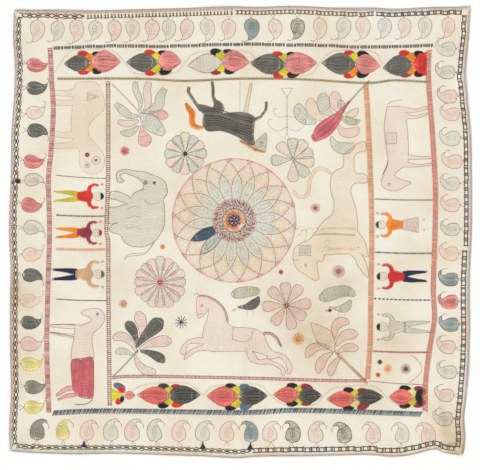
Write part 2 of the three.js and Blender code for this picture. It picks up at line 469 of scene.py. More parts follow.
# A greyer band just inside the hem, strongest a few millimetres in and fading both ways
hem_away = from_hem(cloth_points[:, 0], cloth_points[:, 1])
grey_band_amount = 0.75 - np.abs(hem_away - grey_band_middle_mm) / grey_band_reach_mm
add_values(cloth, "grey_band", np.clip(grey_band_amount, 0, 0.5))

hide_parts("quilt_cloth")
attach(cloth, "root")


# The hem border: a whipped edge and three rows of running stitch close to the hem, then a band
# of small units worked in plum thread: diamonds on the left, squares on the right, and bars and
# finer squares along the top, as its makers changed them on the way round.
thread_seed = 7
thread_dip_mm = 0.3  # how far the ends of a stitch go into the cloth
end_ring_mm = 0.4  # from an end of a stitch to where it is full width
end_ring_share = 0.25  # and no more than this share of its length
unit_stray_mm = 0.35  # how far a band's units stand off their places

# The threads' colours. Madder and indigo dyes, faded by washing, and some brighter later ones
dyes = {
    "rose": "#C05C5A", "pink": "#DB9C90", "blush": "#EE9A8E", "salmon": "#E97A70",
    "coral": "#DE8A6C", "red": "#DE3A30", "crimson": "#A63E4C", "sage": "#A2A389",
    "mist": "#9FA9A0", "ash": "#858068", "grey": "#77766F", "smoke": "#7A776D",
    "charcoal": "#4A4844", "ink": "#46423D", "black": "#262322", "slate": "#6C8091",
    "haze": "#97A09E", "navy": "#2A3150", "madder": "#E2968F", "claret": "#DC787B",
    "brick": "#EA7C72", "coal": "#625E56", "pewter": "#A79F92", "fog": "#A6AFA9",
    "orange": "#F4982E", "lime": "#DFD63A", "straw": "#EEE39C", "mustard": "#D8C84A",
    "ochre": "#C08F4E", "peach": "#DDB68A", "brown": "#7A5A44", "umber": "#6E4A42",
    "plum": "#553F45", "mauve": "#B0686A", "olive": "#8F8B3E", "steel": "#46586A",
    "white": "#F0EADC",
}
dye_colours = {name: np.array(linear(colour_hex)[:3]) for name, colour_hex in dyes.items()}
chance = np.random.default_rng(thread_seed)

# Stitches waiting to be sewn: x, y of both ends, thread width, red, green and blue
waiting = []
sewn = []  # the ends of all sewn stitches, which the quilting follows at the end


def distance_along(line):
    """How far along a line of points each of its points lies."""
    steps = np.hypot(*np.diff(line, axis=0).T)
    return np.concatenate([[0], np.cumsum(steps)])


def points_at(line, along, places):
    """Where a line is at some places, given how far along each of its own points lies."""
    return np.stack([np.interp(places, along, line[:, axis]) for axis in (0, 1)], -1)


def unit(ways, least=0.01):
    """Directions made one long. Those shorter than the least stay shorter than one."""
    return ways / np.maximum(np.hypot(*ways.T), least)[:, None]


def left_of(ways):
    """Directions turned a quarter to the left."""
    return np.stack([-ways[:, 1], ways[:, 0]], -1)


def around(middle, radius, angle):
    """Points at a radius round a middle, at angles in radians."""
    return np.asarray(middle) + np.stack([radius * np.cos(angle), radius * np.sin(angle)], -1)


def lay_stitches(starts, ends, width, tints):
    """Stitches from their ends, thread width and colours, which wait to be sewn."""
    waiting.append(np.column_stack([starts, ends, np.full(len(starts), width), tints]))


def running(line, dye, length=2.7, gap=0.4, width=1.1, offset=0.0, streak=0.06):
    """Running stitch along a line of points. The line is shared out in equal steps of one
    stitch and one gap, each a little uneven, and each stitch is a straight piece of it. An
    offset, as a share of a step, sets them all on along the line. Streak is how much the tone
    differs from one line to the next."""
    along = distance_along(line)
    count = max(1, round(along[-1] / (length + gap)))
    pitch = along[-1] / count
    start = (np.arange(count) + chance.uniform(-0.06, 0.06, count) + offset) * pitch
    end = start + pitch * length / (length + gap) * chance.uniform(0.9, 1.06, count)
    fade = chance.normal(1, streak) * chance.normal(1, 0.05, count)
    lay_stitches(points_at(line, along, start), points_at(line, along, end), width,
                 dye_colours[dye] * np.clip(fade, 0.7, 1.35)[:, None])


def stitch_points(stitches, rings):
    """Half-round threads lying on the cloth: each has a point at either end that dips into the
    cloth, and between them rings of three points, left, crown and right. Two rings lie close
    to the ends, and a single one half way."""
    start, end, width = stitches[:, 0:2], stitches[:, 2:4], stitches[:, 4:5]
    way = end - start
    left = left_of(unit(way))
    dip = np.full((len(stitches), 1), -thread_dip_mm)
    rows = [np.hstack([start, dip])]
    length = np.maximum(np.hypot(*way.T), 0.01)
    near_end = np.minimum(end_ring_mm / length, end_ring_share)[:, None]
    for share in (near_end, 1 - near_end) if rings == 2 else (0.5,):
        middle = start + share * way
        rows += [
            np.hstack([middle + left * width / 2, dip / 2]),
            np.hstack([middle, width * 0.5]),
            np.hstack([middle - left * width / 2, dip / 2]),
        ]
    rows.append(np.hstack([end, dip]))
    points = np.stack(rows, 1)
    points[:, :, 2] += face_height(points[:, :, 0], points[:, :, 1])
    return points


def sew(name, material, rings=2):
    """Makes one joined mesh of all waiting stitches: closed threads of twelve triangles, or six
    where they have a single ring. Each point keeps the colour of its thread."""
    stitches = np.concatenate(waiting)
    waiting.clear()
    points = stitch_points(stitches, rings)
    last = points.shape[1] - 1
    faces = [(0, 2, 1), (0, 3, 2), (0, 1, 3)]
    for ring in range(1, last - 3, 3):
        left, crown, right = ring, ring + 1, ring + 2
        faces += [
            (left, crown + 3, left + 3), (left, crown, crown + 3), (right, right + 3, crown + 3),
            (right, crown + 3, crown), (left, left + 3, right + 3), (left, right + 3, right),
        ]
    faces += [(last, last - 3, last - 2), (last, last - 2, last - 1), (last, last - 1, last - 3)]
    numbers = np.arange(len(stitches))[:, None, None] * (last + 1) + np.array(faces)[None]
    piece = joined_mesh(name, points.reshape(-1, 3), numbers.reshape(-1, 3), material)
    tints = np.repeat(np.hstack([stitches[:, 5:8], np.ones((len(stitches), 1))]), last + 1, axis=0)
    piece.data.color_attributes.new("dye", "FLOAT_COLOR", "POINT").data.foreach_set(
        "color", tints.astype(np.float32).ravel()
    )
    flat_map(piece)
    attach(piece, "root")
    sewn.append(stitches[:, :4])


def stranded_cotton():
    """Stranded cotton embroidery thread, vegetable dyed and washed many times: soft, with a
    slight sheen, and uneven in colour along its length, darker where the strands lie close."""
    strand_mm = 1.4  # real strands are 0.3 mm, too fine to show, so their marks are coarser
    strand_relief_mm = 0.2

    material, tree, shader, place = surface_material("stranded_cotton_thread")
    dye = node(tree, "ShaderNodeAttribute", attribute_name="dye").outputs["Color"]
    washed = node(tree, "ShaderNodeTexNoise", {"Vector": place, "Scale": 45, "Detail": 3})
    strands = node(tree, "ShaderNodeTexNoise", {
        "Vector": place, "Scale": 1 / (strand_mm * MM), "Detail": 2,
    })
    wash_tone = node(tree, "ShaderNodeMapRange", {
        "Value": washed.outputs["Fac"], "From Min": 0.3, "From Max": 0.7,
        "To Min": 0.84, "To Max": 1.16,
    })
    strand_tone = node(tree, "ShaderNodeMapRange", {
        "Value": strands.outputs["Fac"], "From Min": 0.3, "From Max": 0.7,
        "To Min": 0.85, "To Max": 1.14,
    })
    both = node(tree, "ShaderNodeMath", {
        0: wash_tone.outputs["Result"], 1: strand_tone.outputs["Result"],
    }, operation="MULTIPLY")
    colour = node(tree, "ShaderNodeVectorMath", {
        0: dye, 1: both.outputs["Value"],
    }, operation="MULTIPLY")
    tree.links.new(colour.outputs["Vector"], shader.inputs["Base Color"])
    ply = node(tree, "ShaderNodeBump", {
        "Height": strands.outputs["Fac"], "Strength": 0.5, "Distance": strand_relief_mm * MM,
    })
    tree.links.new(ply.outputs["Normal"], shader.inputs["Normal"])
    shader.inputs["Roughness"].default_value = 0.72
    shader.inputs["IOR"].default_value = 1.53
    shader.inputs["Specular IOR Level"].default_value = 0.35
    shader.inputs["Sheen Weight"].default_value = 0.1
    return material


thread = stranded_cotton()


def hem_line(side, inset, bow=0.0, step=4.0):
    """A line along one side of the quilt, inset from its hem, and by bow more at its middle. It
    runs in the direction of +x or +y and stops short of the lines that cross it."""
    half_x, half_y = sheet_width / 2, sheet_height / 2
    half = half_x if side in ("top", "bottom") else half_y
    place = np.arange(inset + 2 - half, half - inset - 2, step)
    level = np.full(place.shape, half_x if side == "right" else half_y)
    x, y, inward = {
        "top": (place, level, (0, -1)), "bottom": (place, -level, (0, 1)),
        "right": (level, place, (-1, 0)), "left": (-level * half_x / half_y, place, (1, 0)),
    }[side]
    x, y = on_sheet(x, y)
    depth = inset + bow * (1 - (place / half) ** 2)
    return np.stack([x, y], -1) + np.array(inward) * depth[:, None]


# What one unit of a band is made of, as stitches: along and across at the start, along and
# across at the end, thread and width. Along is in half units, across in half the band's height
band_units = {
    "whip": ((0, -1.2, 0.3, 0.8, "grey", 1.1),),
    "diamond": (
        (-0.86, 0, 0, 0.92, "umber", 2.3), (0, 0.92, 0.86, 0, "plum", 2.3),
        (0.86, 0, 0, -0.92, "umber", 2.3), (0, -0.92, -0.86, 0, "plum", 2.3),
        (-1.3, 1.0, -0.5, 1.0, "umber", 2.0), (-1.3, -1.0, -0.5, -1.0, "plum", 2.0),
        (0.5, 1.1, 0.9, 1.1, "crimson", 1.4), (0.4, -1.1, 0.8, -1.1, "plum", 1.4),
        (1, -0.6, 1, 0.6, "umber", 2.2),
    ),
    "square": (
        (-0.62, -1, -0.62, 0.1, "plum", 2.2), (-0.62, 0, -0.62, 1, "umber", 2.2),
        (0.62, -1, 0.62, 0.1, "plum", 2.2), (0.62, 0, 0.62, 1, "plum", 2.2),
        (1, -0.9, 1, 0.9, "umber", 1.7),
        (-1, 1, -0.2, 1, "umber", 2.2), (-0.3, 1, 0.4, 1, "plum", 2.2), (0.3, 1, 1.1, 1, "plum", 2.2),
        (-1, -1, -0.2, -1, "plum", 2.2), (-0.3, -1, 0.4, -1, "umber", 2.2),
        (0.3, -1, 1.1, -1, "plum", 2.2), (0.8, 1.5, 1.2, 1.5, "crimson", 1.3),
    ),
    "fine square": (
        (0, -1, 0, 1, "plum", 2.2), (0.6, -0.9, 0.6, 0.9, "mauve", 1.3),
        (-1, 1, 0.1, 1, "umber", 2.0), (0, 1, 1, 1, "umber", 2.0),
        (-1, -1, 0.1, -1, "plum", 2.0), (0, -1, 1, -1, "umber", 2.0),
    ),
    "bar": (
        (0, -1, 0.15, 0.7, "plum", 2.3), (-0.9, -1, 0.1, -1.05, "umber", 1.9),
        (0, -1, 0.9, -1, "umber", 1.9), (-0.7, 0.2, 0.5, 0.35, "grey", 1.5),
        (0.3, -0.6, 0.75, -0.5, "grey", 1.3),
        (-0.9, 1.2, 0.9, 1.2, "pink", 1.3), (0, 1.0, 0, 1.9, "mauve", 1.0),
    ),
    "dumbbell": (
        (-0.96, 0.72, 0.18, 0.72, "grey", 1.7), (-0.96, -0.72, 0.18, -0.72, "grey", 1.7),
        (-0.96, 0, 0.18, 0, "plum", 2.0), (-0.95, -0.9, -0.95, 0.9, "plum", 1.9),
        (-0.56, -0.8, -0.56, 0.8, "plum", 1.3), (-0.22, -0.8, -0.22, 0.8, "grey", 1.3),
        (0.16, -0.9, 0.16, 0.9, "plum", 1.9), (0.44, -1, 0.72, 1, "plum", 1.9),
        (0.72, -1, 0.44, 1, "charcoal", 1.9), (0.34, 0, 0.82, 0, "plum", 1.8),
    ),
}


def band(line, pitch, height, kind, start=-1e3, stop=1e3, axis=0):
    """A band of units along a line, one at every pitch, between a start and a stop in x, or in
    y with axis 1. Each unit is set a little uneven."""
    line = line[(line[:, axis] > start) & (line[:, axis] < stop)]
    along = distance_along(line)
    count = round(along[-1] / pitch)
    places = (np.arange(count) + 0.5) * along[-1] / count
    centre = points_at(line, along, places)
    way = unit(points_at(line, along, places + 1) - centre)
    side = left_of(way)
    centre = centre + chance.normal(0, unit_stray_mm, (count, 2))
    for from_along, from_across, to_along, to_across, dye, width in band_units[kind]:
        first = centre + way * from_along * pitch / 2 + side * from_across * height / 2
        second = centre + way * to_along * pitch / 2 + side * to_across * height / 2
        tints = dye_colours[dye] * chance.uniform(0.85, 1.2, (count, 1))
        lay_stitches(first, second, width, tints)


def in_turn(dye, count):
    """The colours of a number of stitches, of one dye name or of several that take turns."""
    names = dye if isinstance(dye, tuple) else (dye,)
    return np.stack([dye_colours[names[i % len(names)]] for i in range(count)])


def strokes(middle, inner, outer, count, slant, dye, width=1.3):
    """A ring of stitches round a middle, from an inner to an outer radius, each outer end set
    on by slant degrees. Several dye names take turns."""
    at = np.radians(np.arange(count) * 360 / count + chance.uniform(-2, 2, count))
    on = at + np.radians(slant)
    lay_stitches(around(middle, inner, at), around(middle, outer, on), width, in_turn(dye, count))


for side in ("left", "right", "top", "bottom"):
    running(hem_line(side, 1.2 if side in ("left", "top") else 2.4), "grey", 2.6, 1.0, 1.2)
    running(hem_line(side, 3.4), "smoke", 1.5, 1.7, 1.1)
    running(hem_line(side, 5.0), "mauve", 1.7, 1.7, 1.0)
    band(hem_line(side, 2.2), 4.1, 3.2, "whip")

# The bands: side, inset, bow, unit length, height, kind of unit, start and stop along the side
hem_bands = (
    ("left", 10.6, -0.4, 14.4, 8.0, "diamond", -421, 421),
    ("right", 13.2, -1.4, 13.4, 7.4, "square", -421, -30),
    ("right", 11.6, -0.4, 13.4, 6.2, "square", -30, 421),
    ("bottom", 12.6, 0.6, 14.4, 7.6, "diamond", -431, 20),
    ("bottom", 12.4, 0.6, 13.6, 7.2, "square", 20, 431),
    ("top", 10.8, 0, 17.2, 8.0, "diamond", -431, -289),
    ("top", 10.8, 0, 6.4, 8.0, "bar", -289, -10),
    ("top", 11.2, 0, 7.4, 6.4, "fine square", -10, 250),
    ("top", 11.2, 0, 12.4, 6.2, "square", 250, 431),
)
for side, inset, bow, pitch, height, kind, start, stop in hem_bands:
    line = hem_line(side, inset, bow)
    band(line, pitch, height, kind, start, stop, 0 if side in ("top", "bottom") else 1)

# Small peaks of dark thread that stand on the border
for x, y in ((-291, -400), (-70, -403), (18, -404)):
    for k in range(7):
        across = (k - 3) * 1.9
        peak = np.array(((x + across, y), (x + across * 0.35, y + 13 - abs(across) * 1.2)))
        running(peak, "navy", 9, -1, 2.2)
strokes((-413, 95), 0.3, 5, 9, 0, "black", 2.3)
strokes((-423, 92), 0.3, 3, 6, 0, "black", 1.6)

sew("hem_border_threads", thread)


# The border of paisleys: the old mango motif, one after another between the hem border and the
# frame. Each is an outline with rows of running stitch that follow it, and a curled tail.
def bent(at, heading, length, half_width, profile, bend=0, sway=0, late=2, steps=26):
    """A shape along a bent middle line, as rows of x, y and half width. The line starts at a
    point in a heading in degrees, turns by bend degrees times t to the power late, and sways
    out and back by sway degrees times sin(pi t). Half widths follow the profile's shares."""
    t = np.linspace(0, 1, steps)
    angle = np.radians(heading + bend * t ** late + sway * np.sin(np.pi * t))
    step = length / (steps - 1)
    x = at[0] + np.concatenate([[0], np.cumsum(np.cos(angle[:-1]))]) * step
    y = at[1] + np.concatenate([[0], np.cumsum(np.sin(angle[:-1]))]) * step
    places, shares = np.array(profile).T
    return np.column_stack([x, y, half_width * np.interp(t, places, shares)])


def offset_line(rows, share):
    """The line beside a shape's middle line, at a share of its half width: 1 is its left edge."""
    way = unit(np.gradient(rows[:, :2], axis=0), 1e-6)
    return rows[:, :2] + left_of(way) * rows[:, 2:] * share


def edge(rows):
    """The closed outline of a shape given as rows of x, y and half width."""
    left, right = offset_line(rows, 1), offset_line(rows, -1)
    return np.concatenate([left, right[::-1], left[:1]])


# How a shape is filled: millimetres between rows, stitch, gap and thread width, and streak
fillings = {
    "tint": (1.9, 5.4, 0.4, 0.62, 0.06),
    "open": (1.8, 5.4, 0.4, 0.75, 0.06),
    "pale": (1.5, 5.4, 0.4, 0.78, 0.06),
    "medium": (1.3, 5.4, 0.3, 0.98, 0.08),
    "close": (1.15, 6.9, -1.3, 1.45, 0.09),
    "streaked": (1.15, 6.9, -1.3, 1.45, 0.2),
    "raised": (1.15, 5.4, -1.1, 1.7, 0.05),
}


def fill_along(rows, dye, filling):
    """Rows of stitches that run lengthwise through a shape, fewer where it is narrow: a row is
    sewn where the rows as thinned out there, by two, by four and so on, are far enough apart."""
    row_gap, length, gap, width, streak = fillings[filling]
    count = max(1, int(2 * rows[:, 2].max() / row_gap))
    apart = 2 * rows[:, 2] / count
    for k in range(count):
        number = k + 1
        thinned = number & -number
        line = offset_line(rows, (2 * k + 1) / count - 1)
        kept = np.flatnonzero(apart * thinned > 0.62 * row_gap)
        if len(kept) > 1:
            row = line[kept[0]:kept[-1] + 1]
            running(row, dye, length, gap, width, chance.uniform(-0.4, 0.4), streak)


# The ways a paisley is coloured: rows, heart, outline, tail, and how it is filled
paisley_ways = {
    "pink": ("pink", "pink", "ash", "grey", "tint"),
    "rosy": ("pink", "pink", "umber", "grey", "open"),
    "blush": ("pink", "pink", "mauve", "mauve", "tint"),
    "sage": ("sage", "ash", "mauve", "rose", "tint"),
    "mist": ("mist", "haze", "smoke", "mauve", "tint"),
    "ash": ("ash", "ash", "charcoal", "smoke", "tint"),
    "dun": ("ash", "ash", "umber", "rose", "medium"),
    "sand": ("peach", "pink", "peach", "peach", "tint"),
    "dark": ("smoke", "haze", "ink", "smoke", "streaked"),
    "worn": ("pewter", "grey", "ink", "smoke", "close"),
    "red": ("madder", "salmon", "rose", "ash", "streaked"),
    "blue": ("fog", "haze", "charcoal", "smoke", "streaked"),
    "sky": ("fog", "slate", "smoke", "smoke", "close"),
    "straw": ("straw", "ochre", "ochre", "mauve", "close"),
}

# An egg with a short point, and one that runs out into a hook: profile, length, half width,
# bend, power of the bend, and from the round end to the middle
egg = (((0, 0), (0.03, 0.42), (0.1, 0.76), (0.22, 0.96), (0.36, 1), (0.52, 0.93), (0.68, 0.7),
        (0.84, 0.36), (1, 0.04)), 42, 13.2, 66, 2.5, 19)
mango = (((0, 0), (0.02, 0.46), (0.07, 0.82), (0.15, 0.97), (0.28, 1), (0.42, 0.95), (0.54, 0.76),
          (0.66, 0.46), (0.8, 0.22), (1, 0.1)), 51, 13.4, 158, 2.8, 17)


def axes(heading):
    """Unit directions along a heading in degrees, and to its left."""
    angle = np.radians(heading)
    along = np.array([np.cos(angle), np.sin(angle)])
    return along, np.array([-along[1], along[0]])


def paisley(x, y, way, form, heading, curl, size=1.0):
    """A drop whose point curls over to one side, with rows of stitches that follow it, a heart
    of the same thread or a deeper one, an outline, a tail beyond its point, and two threads
    that tie its round end to the border."""
    rows_dye, heart_dye, line_dye, tail_dye, filling = paisley_ways[way]
    profile, length, half_width, bend, late, middle = form
    way_on, across = axes(heading)
    start = np.array([x, y]) - way_on * middle * size
    shape = bent(start, heading, length * size, half_width * chance.uniform(0.96, 1.06) * size,
                 profile, curl * bend, curl * -12, late)
    fill_along(shape, rows_dye, filling)
    heart = bent(start + way_on * 8 * size, heading, 22 * size, 4.2 * size, egg[0], curl * 30)
    if filling in ("open", "tint", "pale"):
        running(edge(heart), heart_dye, 2.6, 0.7, 1.1)
        running(heart[4:-6, :2], heart_dye, 2.6, 0.7, 1.1)
        running(edge(shape), line_dye, 2.8, 0.3, 1.3)
    elif way == "straw":
        running(heart[4:-6, :2], heart_dye, 2.6, 2.6, 0.9)
        running(edge(shape), line_dye, 2.8, 0.3, 1.2)
    else:
        running(edge(heart), heart_dye, 3, 0.3, 1.9)
        running(heart[3:-6, :2], line_dye, 3, 0.3, 1.8)
        running(edge(shape), line_dye, 2.7, 0.2, 2.0)
    tip, before = shape[-1, :2], shape[-3, :2]
    onward = np.degrees(np.arctan2(*(tip - before)[::-1]))
    tail = bent(tip, onward, 14 * size, 1, ((0, 1), (1, 1)), curl * 130, steps=8)
    running(tail[:, :2], tail_dye, width=1.5)
    for side in (1, -1):
        tie = np.array([start, start - way_on * 9 + across * side * chance.uniform(3, 6)])
        running(tie, "mauve" if filling == "tint" else "smoke", 3.2, 0.4, 1.2)


# Along the top hem, round end up, points curling to the left: x and colouring, from the left
top_row = (
    (-379, "pink"), (-341, "sage"), (-305, "pink"), (-271, "sage"), (-235, "rosy"), (-201, "sage"),
    (-165, "rosy"), (-134, "sage"), (-101, "rosy"), (-62, "sage"), (-23, "pink"), (20, "sky"),
    (64, "pink"), (105, "dun"), (147, "pink"), (190, "mist"), (227, "pink"), (267, "mist"),
    (304, "pink"), (342, "mist"), (385, "blush"),
)
# Along the bottom hem, points up: x, colouring, and the side the point curls to, -1 is right
bottom_row = (
    (-377, "worn", -1), (-330, "straw", -1), (-285, "blush", -1), (-241, "mist", -1),
    (-201, "rosy", -1), (-160, "ash", -1), (-114, "blush", -1), (-70, "mist", -1),
    (-25, "blush", -1), (19, "sky", 1), (55, "blush", -1), (97, "dun", 1), (140, "rosy", -1),
    (192, "dun", 1), (246, "rosy", 1), (300, "mist", 1), (348, "blush", 1),
)
# Up the left hem, round ends outward: x, y, colouring, and the side of the point, 1 is up
left_column = (
    (-378, 311, "red", 1), (-378, 269, "dark", 1), (-380, 224, "pink", 1), (-377, 188, "dark", -1),
    (-384, 132, "red", 1), (-383, 97, "ash", -1), (-388, 51, "red", 1), (-384, 8, "ash", -1),
    (-386, -40, "blush", 1), (-386, -81, "dark", -1), (-389, -126, "sand", 1),
    (-389, -167, "dark", 1), (-389, -207, "rosy", 1), (-388, -244, "straw", 1),
    (-382, -287, "worn", 1), (-383, -324, "straw", 1),
)
right_column = (
    (383, 343, "mist", -1), (382, 300, "ash", -1), (386, 255, "rosy", -1), (391, 222, "blush", -1),
    (391, 177, "mist", -1), (395, 134, "blush", -1), (391, 93, "mist", -1), (391, 53, "blush", -1),
    (391, 8, "ash", -1), (389, -37, "blush", -1), (388, -85, "blue", -1), (388, -127, "red", -1),
    (389, -169, "blue", -1), (383, -210, "rosy", -1), (385, -257, "ash", -1),
    (380, -300, "rosy", -1), (378, -344, "ash", -1),
)
for x, way in top_row:
    paisley(x, 378 + x / 120, way, egg, -90 + chance.normal(0, 5), -1, chance.uniform(0.92, 1.06))
for x, way, curl in bottom_row:
    paisley(x, -373 - x / 100, way, mango, 90 + chance.normal(0, 4), curl,
            chance.uniform(0.92, 1.02))
for x, y, way, curl in left_column:
    paisley(x - 1, y, way, egg, chance.normal(0, 5), curl, chance.uniform(0.9, 1.0))
for x, y, way, curl in right_column:
    paisley(x + 1, y - 2, way, mango, 180 + chance.normal(0, 4), curl, chance.uniform(0.88, 0.96))

sew("paisley_threads", thread)


# The frame and the dividing lines: bands of rails, bars and slanting stitches that part the
# quilt into a square field, a bud band above and below it, and panels at both sides.
def smooth(points, closed=False, steps=8):
    """A smooth curve through a few points: between neighbours runs a cubic whose slope at each
    point is that of the chord between the points on either side of it."""
    points = np.asarray(points, float)
    before, after = np.roll(points, 1, axis=0), np.roll(points, -1, axis=0)
    if not closed:
        before[0], after[-1] = points[0], points[-1]
    slope = ((after - before) / 2)[:, None]
    end_slope = np.roll(slope, -1, axis=0)
    start, end = points[:, None], after[:, None]
    t = np.linspace(0, 1, steps, endpoint=False)[None, :, None]
    curve = (1 + 2 * t) * (1 - t) ** 2 * start + t * t * (3 - 2 * t) * end
    curve += t * (1 - t) ** 2 * slope + t * t * (t - 1) * end_slope
    curve = curve.reshape(-1, points.shape[1])
    last = curve[:1] if closed else points[-1:]
    return np.concatenate([curve if closed else curve[:-steps], last])


def beside(line, distance):
    """A line at an even distance to the left of another."""
    return offset_line(np.column_stack([line, np.full(len(line), distance)]), 1)


def bars(line, low, high, pitch, slant, dye, width=1.3):
    """Stitches across a line at every pitch, from low to high beside it, each set on by slant
    as it crosses. Several dye names take turns."""
    along = distance_along(line)
    count = max(1, round((along[-1] - abs(slant)) / pitch))
    places = (np.arange(count) + 0.5) * pitch + chance.uniform(-0.1, 0.1, count) * pitch
    ends = [points_at(beside(line, distance), along, places + shift)
            for distance, shift in ((low, 0), (high, slant))]
    lay_stitches(*ends, width, in_turn(dye, count) * chance.uniform(0.84, 1.16, (count, 1)))


frame_left = smooth(((-354, 343), (-351, 283), (-348, 227), (-352, 153), (-357, 97), (-355, 4),
                     (-358, -107), (-360, -219), (-356, -336)))
frame_right = smooth(((351, 339), (350, 283), (358, 175), (363, 77), (362, -5), (359, -106),
                      (361, -161), (352, -219), (345, -275), (344, -336)))
frame_top = smooth(((-347, 343), (-237, 347), (-150, 346), (-105, 347.6), (0, 350), (150, 348),
                    (222, 345), (360, 348)))
frame_bottom = smooth(((-351, -335), (-248, -331), (0, -334), (112, -330), (338, -337)))
field_top = smooth(((-341, 285), (-191, 285), (-103, 281), (-3, 285), (112, 284), (232, 277),
                    (284, 282), (347, 279)))
field_left = smooth(((-246, 281), (-246, 104), (-249, 4), (-246, -20), (-245, -147), (-243, -323)))
field_right = smooth(((233, 275), (237, 205), (242, 90), (244, -5), (242, -119), (241, -204),
                      (236, -273)))
field_bottom = smooth(((-239, -271), (-190, -268), (0, -271), (170, -276), (235, -276)))

# The left side of the frame is a close ladder, and the right side a band of crossed stitches
for distance in (-3.8, -1.9, 0, 1.9, 3.8):
    running(beside(frame_left, distance), "rose", 2.4, 0.4, 1.4)
bars(frame_left, -4.4, 4.4, 3.1, 0, ("mauve", "rose", "pink", "pink"), 1.8)
for distance in (-4.4, 4.2):
    running(beside(frame_left, distance), "crimson", 1.8, 1.6, 1.2)

bars(frame_right, -5.6, 4.6, 3.5, 4.4, ("coral", "rose", "coral"), 2.0)
bars(frame_right, -5.2, 4.2, 3.5, -4.4, ("coral", "rose"), 1.8)
running(beside(frame_right, -5.2), "coral", 2.4, 0.8, 1.5)

# Below, slanting stitches in two blues. Above, long blocks and small crosses take turns
lower_frame = beside(frame_bottom, -0.8)
bars(lower_frame, -5.4, 4.2, 3.1, 4.6, ("navy", "slate", "charcoal", "haze"), 2.2)
bars(lower_frame, -4.4, 5.2, 3.1, 4.0, ("slate", "navy", "haze"), 1.7)
band(beside(frame_top, -0.6), 19.9, 6.6, "dumbbell")

bars(field_top, -2.2, 2.4, 2.2, 1.0, ("ochre", "olive", "sage"), 1.7)
running(beside(field_top, -0.4), "olive", 2.6, 0.4, 1.8)
running(beside(field_top, 1.2), "ochre", 2.6, 0.6, 1.6)
bars(field_top, 1.8, 3.8, 5.2, 0, "umber", 1.4)

for distance in (-3.4, 3.0):
    running(beside(field_left, distance), "brown", 2.4, 0.5, 1.7)
    running(beside(field_left, distance * 0.6), "coral", 2.4, 0.7, 1.4)
bars(field_left, -3.6, 3.4, 3.7, 0, ("rose", "brown", "mauve"), 1.6)

for distance in (-4.6, -2.4, 0, 2.4, 4.6):
    running(beside(field_right, distance), "orange", 3.0, 0.4, 1.4)
bars(field_right, -5.0, 4.8, 2.8, 0, ("coral", "ochre", "coral"), 1.5)
for distance in (-2.2, 2.0):
    running(beside(field_right, distance), "umber", 2.0, 1.8, 1.7)

for distance in (-1.8, 2.6):
    running(beside(field_bottom, distance), "mauve", 2.6, 0.3, 1.9)
bars(field_bottom, -2.2, 3.0, 2.4, 1, ("mauve", "rose", "pink"), 1.6)
running(smooth(((239, -276), (290, -281), (341, -283))), "charcoal", 2.8, 0.4, 1.7)

# Lines between the side panels: ends, threads, stitch, gap and width, and the bars across:
# their pitch and how high they are
panel_lines = (
    ((-343, 106), (-250, 100), ("ash", "olive"), 2.8, 0.2, 2.0, 4, 1.2),
    ((-343, 32), (-251, 30), ("charcoal", "ink"), 2.8, 0.3, 2.2, 5, 2.4),
    ((-343, -31), (-250, -32), ("orange", "coral"), 2.4, 1.0, 2.6, 4.0, 3.4),
    ((-343, -124), (-249, -127), ("crimson", "umber"), 2.8, 0.3, 2.2, 3.8, 1.4),
    ((249, 62), (357, 60), ("olive", "olive"), 3.0, 0.2, 2.6, 4, 1.2),
    ((250, -37), (355, -39), ("charcoal", "grey"), 2.0, 0.4, 2.2, 2.8, 2.2),
    ((248, -123), (354, -126), ("plum", "charcoal"), 4.6, 3.0, 2.8, 7.7, 1.8),
    ((246, -221), (350, -223), ("mauve", "rose"), 3.0, 0.2, 2.2, 2.4, 2.2),
)
for start, end, (dye, bar_dye), length, gap, width, pitch, height in panel_lines:
    line = smooth((start, ((start[0] + end[0]) / 2, (start[1] + end[1]) / 2 - 1), end))
    running(line, dye, length, gap, width)
    bars(line, -height, height, pitch, 0, bar_dye, 1.5)

sew("frame_threads", thread)


# The bud bands: between the frame and the field, above and below, pairs of fat buds lie tip
# out, with bright petals fanned between them, and a thin vine winds from pair to pair.
bud_profile = ((0, 0), (0.04, 0.34), (0.12, 0.64), (0.24, 0.88), (0.4, 1), (0.57, 0.9),
               (0.76, 0.6), (0.9, 0.28), (1, 0))
lens_profile = ((0, 0), (0.06, 0.24), (0.16, 0.56), (0.28, 0.86), (0.42, 1), (0.58, 0.92),
                (0.76, 0.62), (0.9, 0.28), (1, 0))
oval_profile = ((0, 0), (0.06, 0.47), (0.2, 0.8), (0.5, 1), (0.8, 0.8), (0.94, 0.47), (1, 0))
block_profile = ((0, 0.5), (0.08, 0.86), (0.3, 1), (0.8, 1), (0.94, 0.9), (1, 0.6))


def inside(points, outline):
    """Which points lie within a closed outline, by counting the sides crossed on the right."""
    x, y = points[:, :1], points[:, 1:2]
    (ax, ay), (bx, by) = outline[:-1].T, outline[1:].T
    crosses = (ay > y) != (by > y)
    rise = np.where(by == ay, 1, by - ay)
    return (crosses & (x < ax + (y - ay) / rise * (bx - ax))).sum(1) % 2 == 1


def halfway(stitches):
    """The middles of stitches."""
    return (stitches[:, 0:2] + stitches[:, 2:4]) / 2


def heap(shapes):
    """Shapes that overlap, the first on top: rows, fill, outline, filling and outline width.
    No stitch is sewn where its middle would lie under a shape further up."""
    above = []
    for rows, dye, line_dye, filling, line_width in shapes:
        since = len(waiting)
        fill_along(rows, dye, filling)
        running(edge(rows), line_dye, 2.4, 0.2, line_width)
        for i in range(since, len(waiting)):
            for outline in above:
                waiting[i] = waiting[i][~inside(halfway(waiting[i]), outline)]
        above.append(edge(rows))


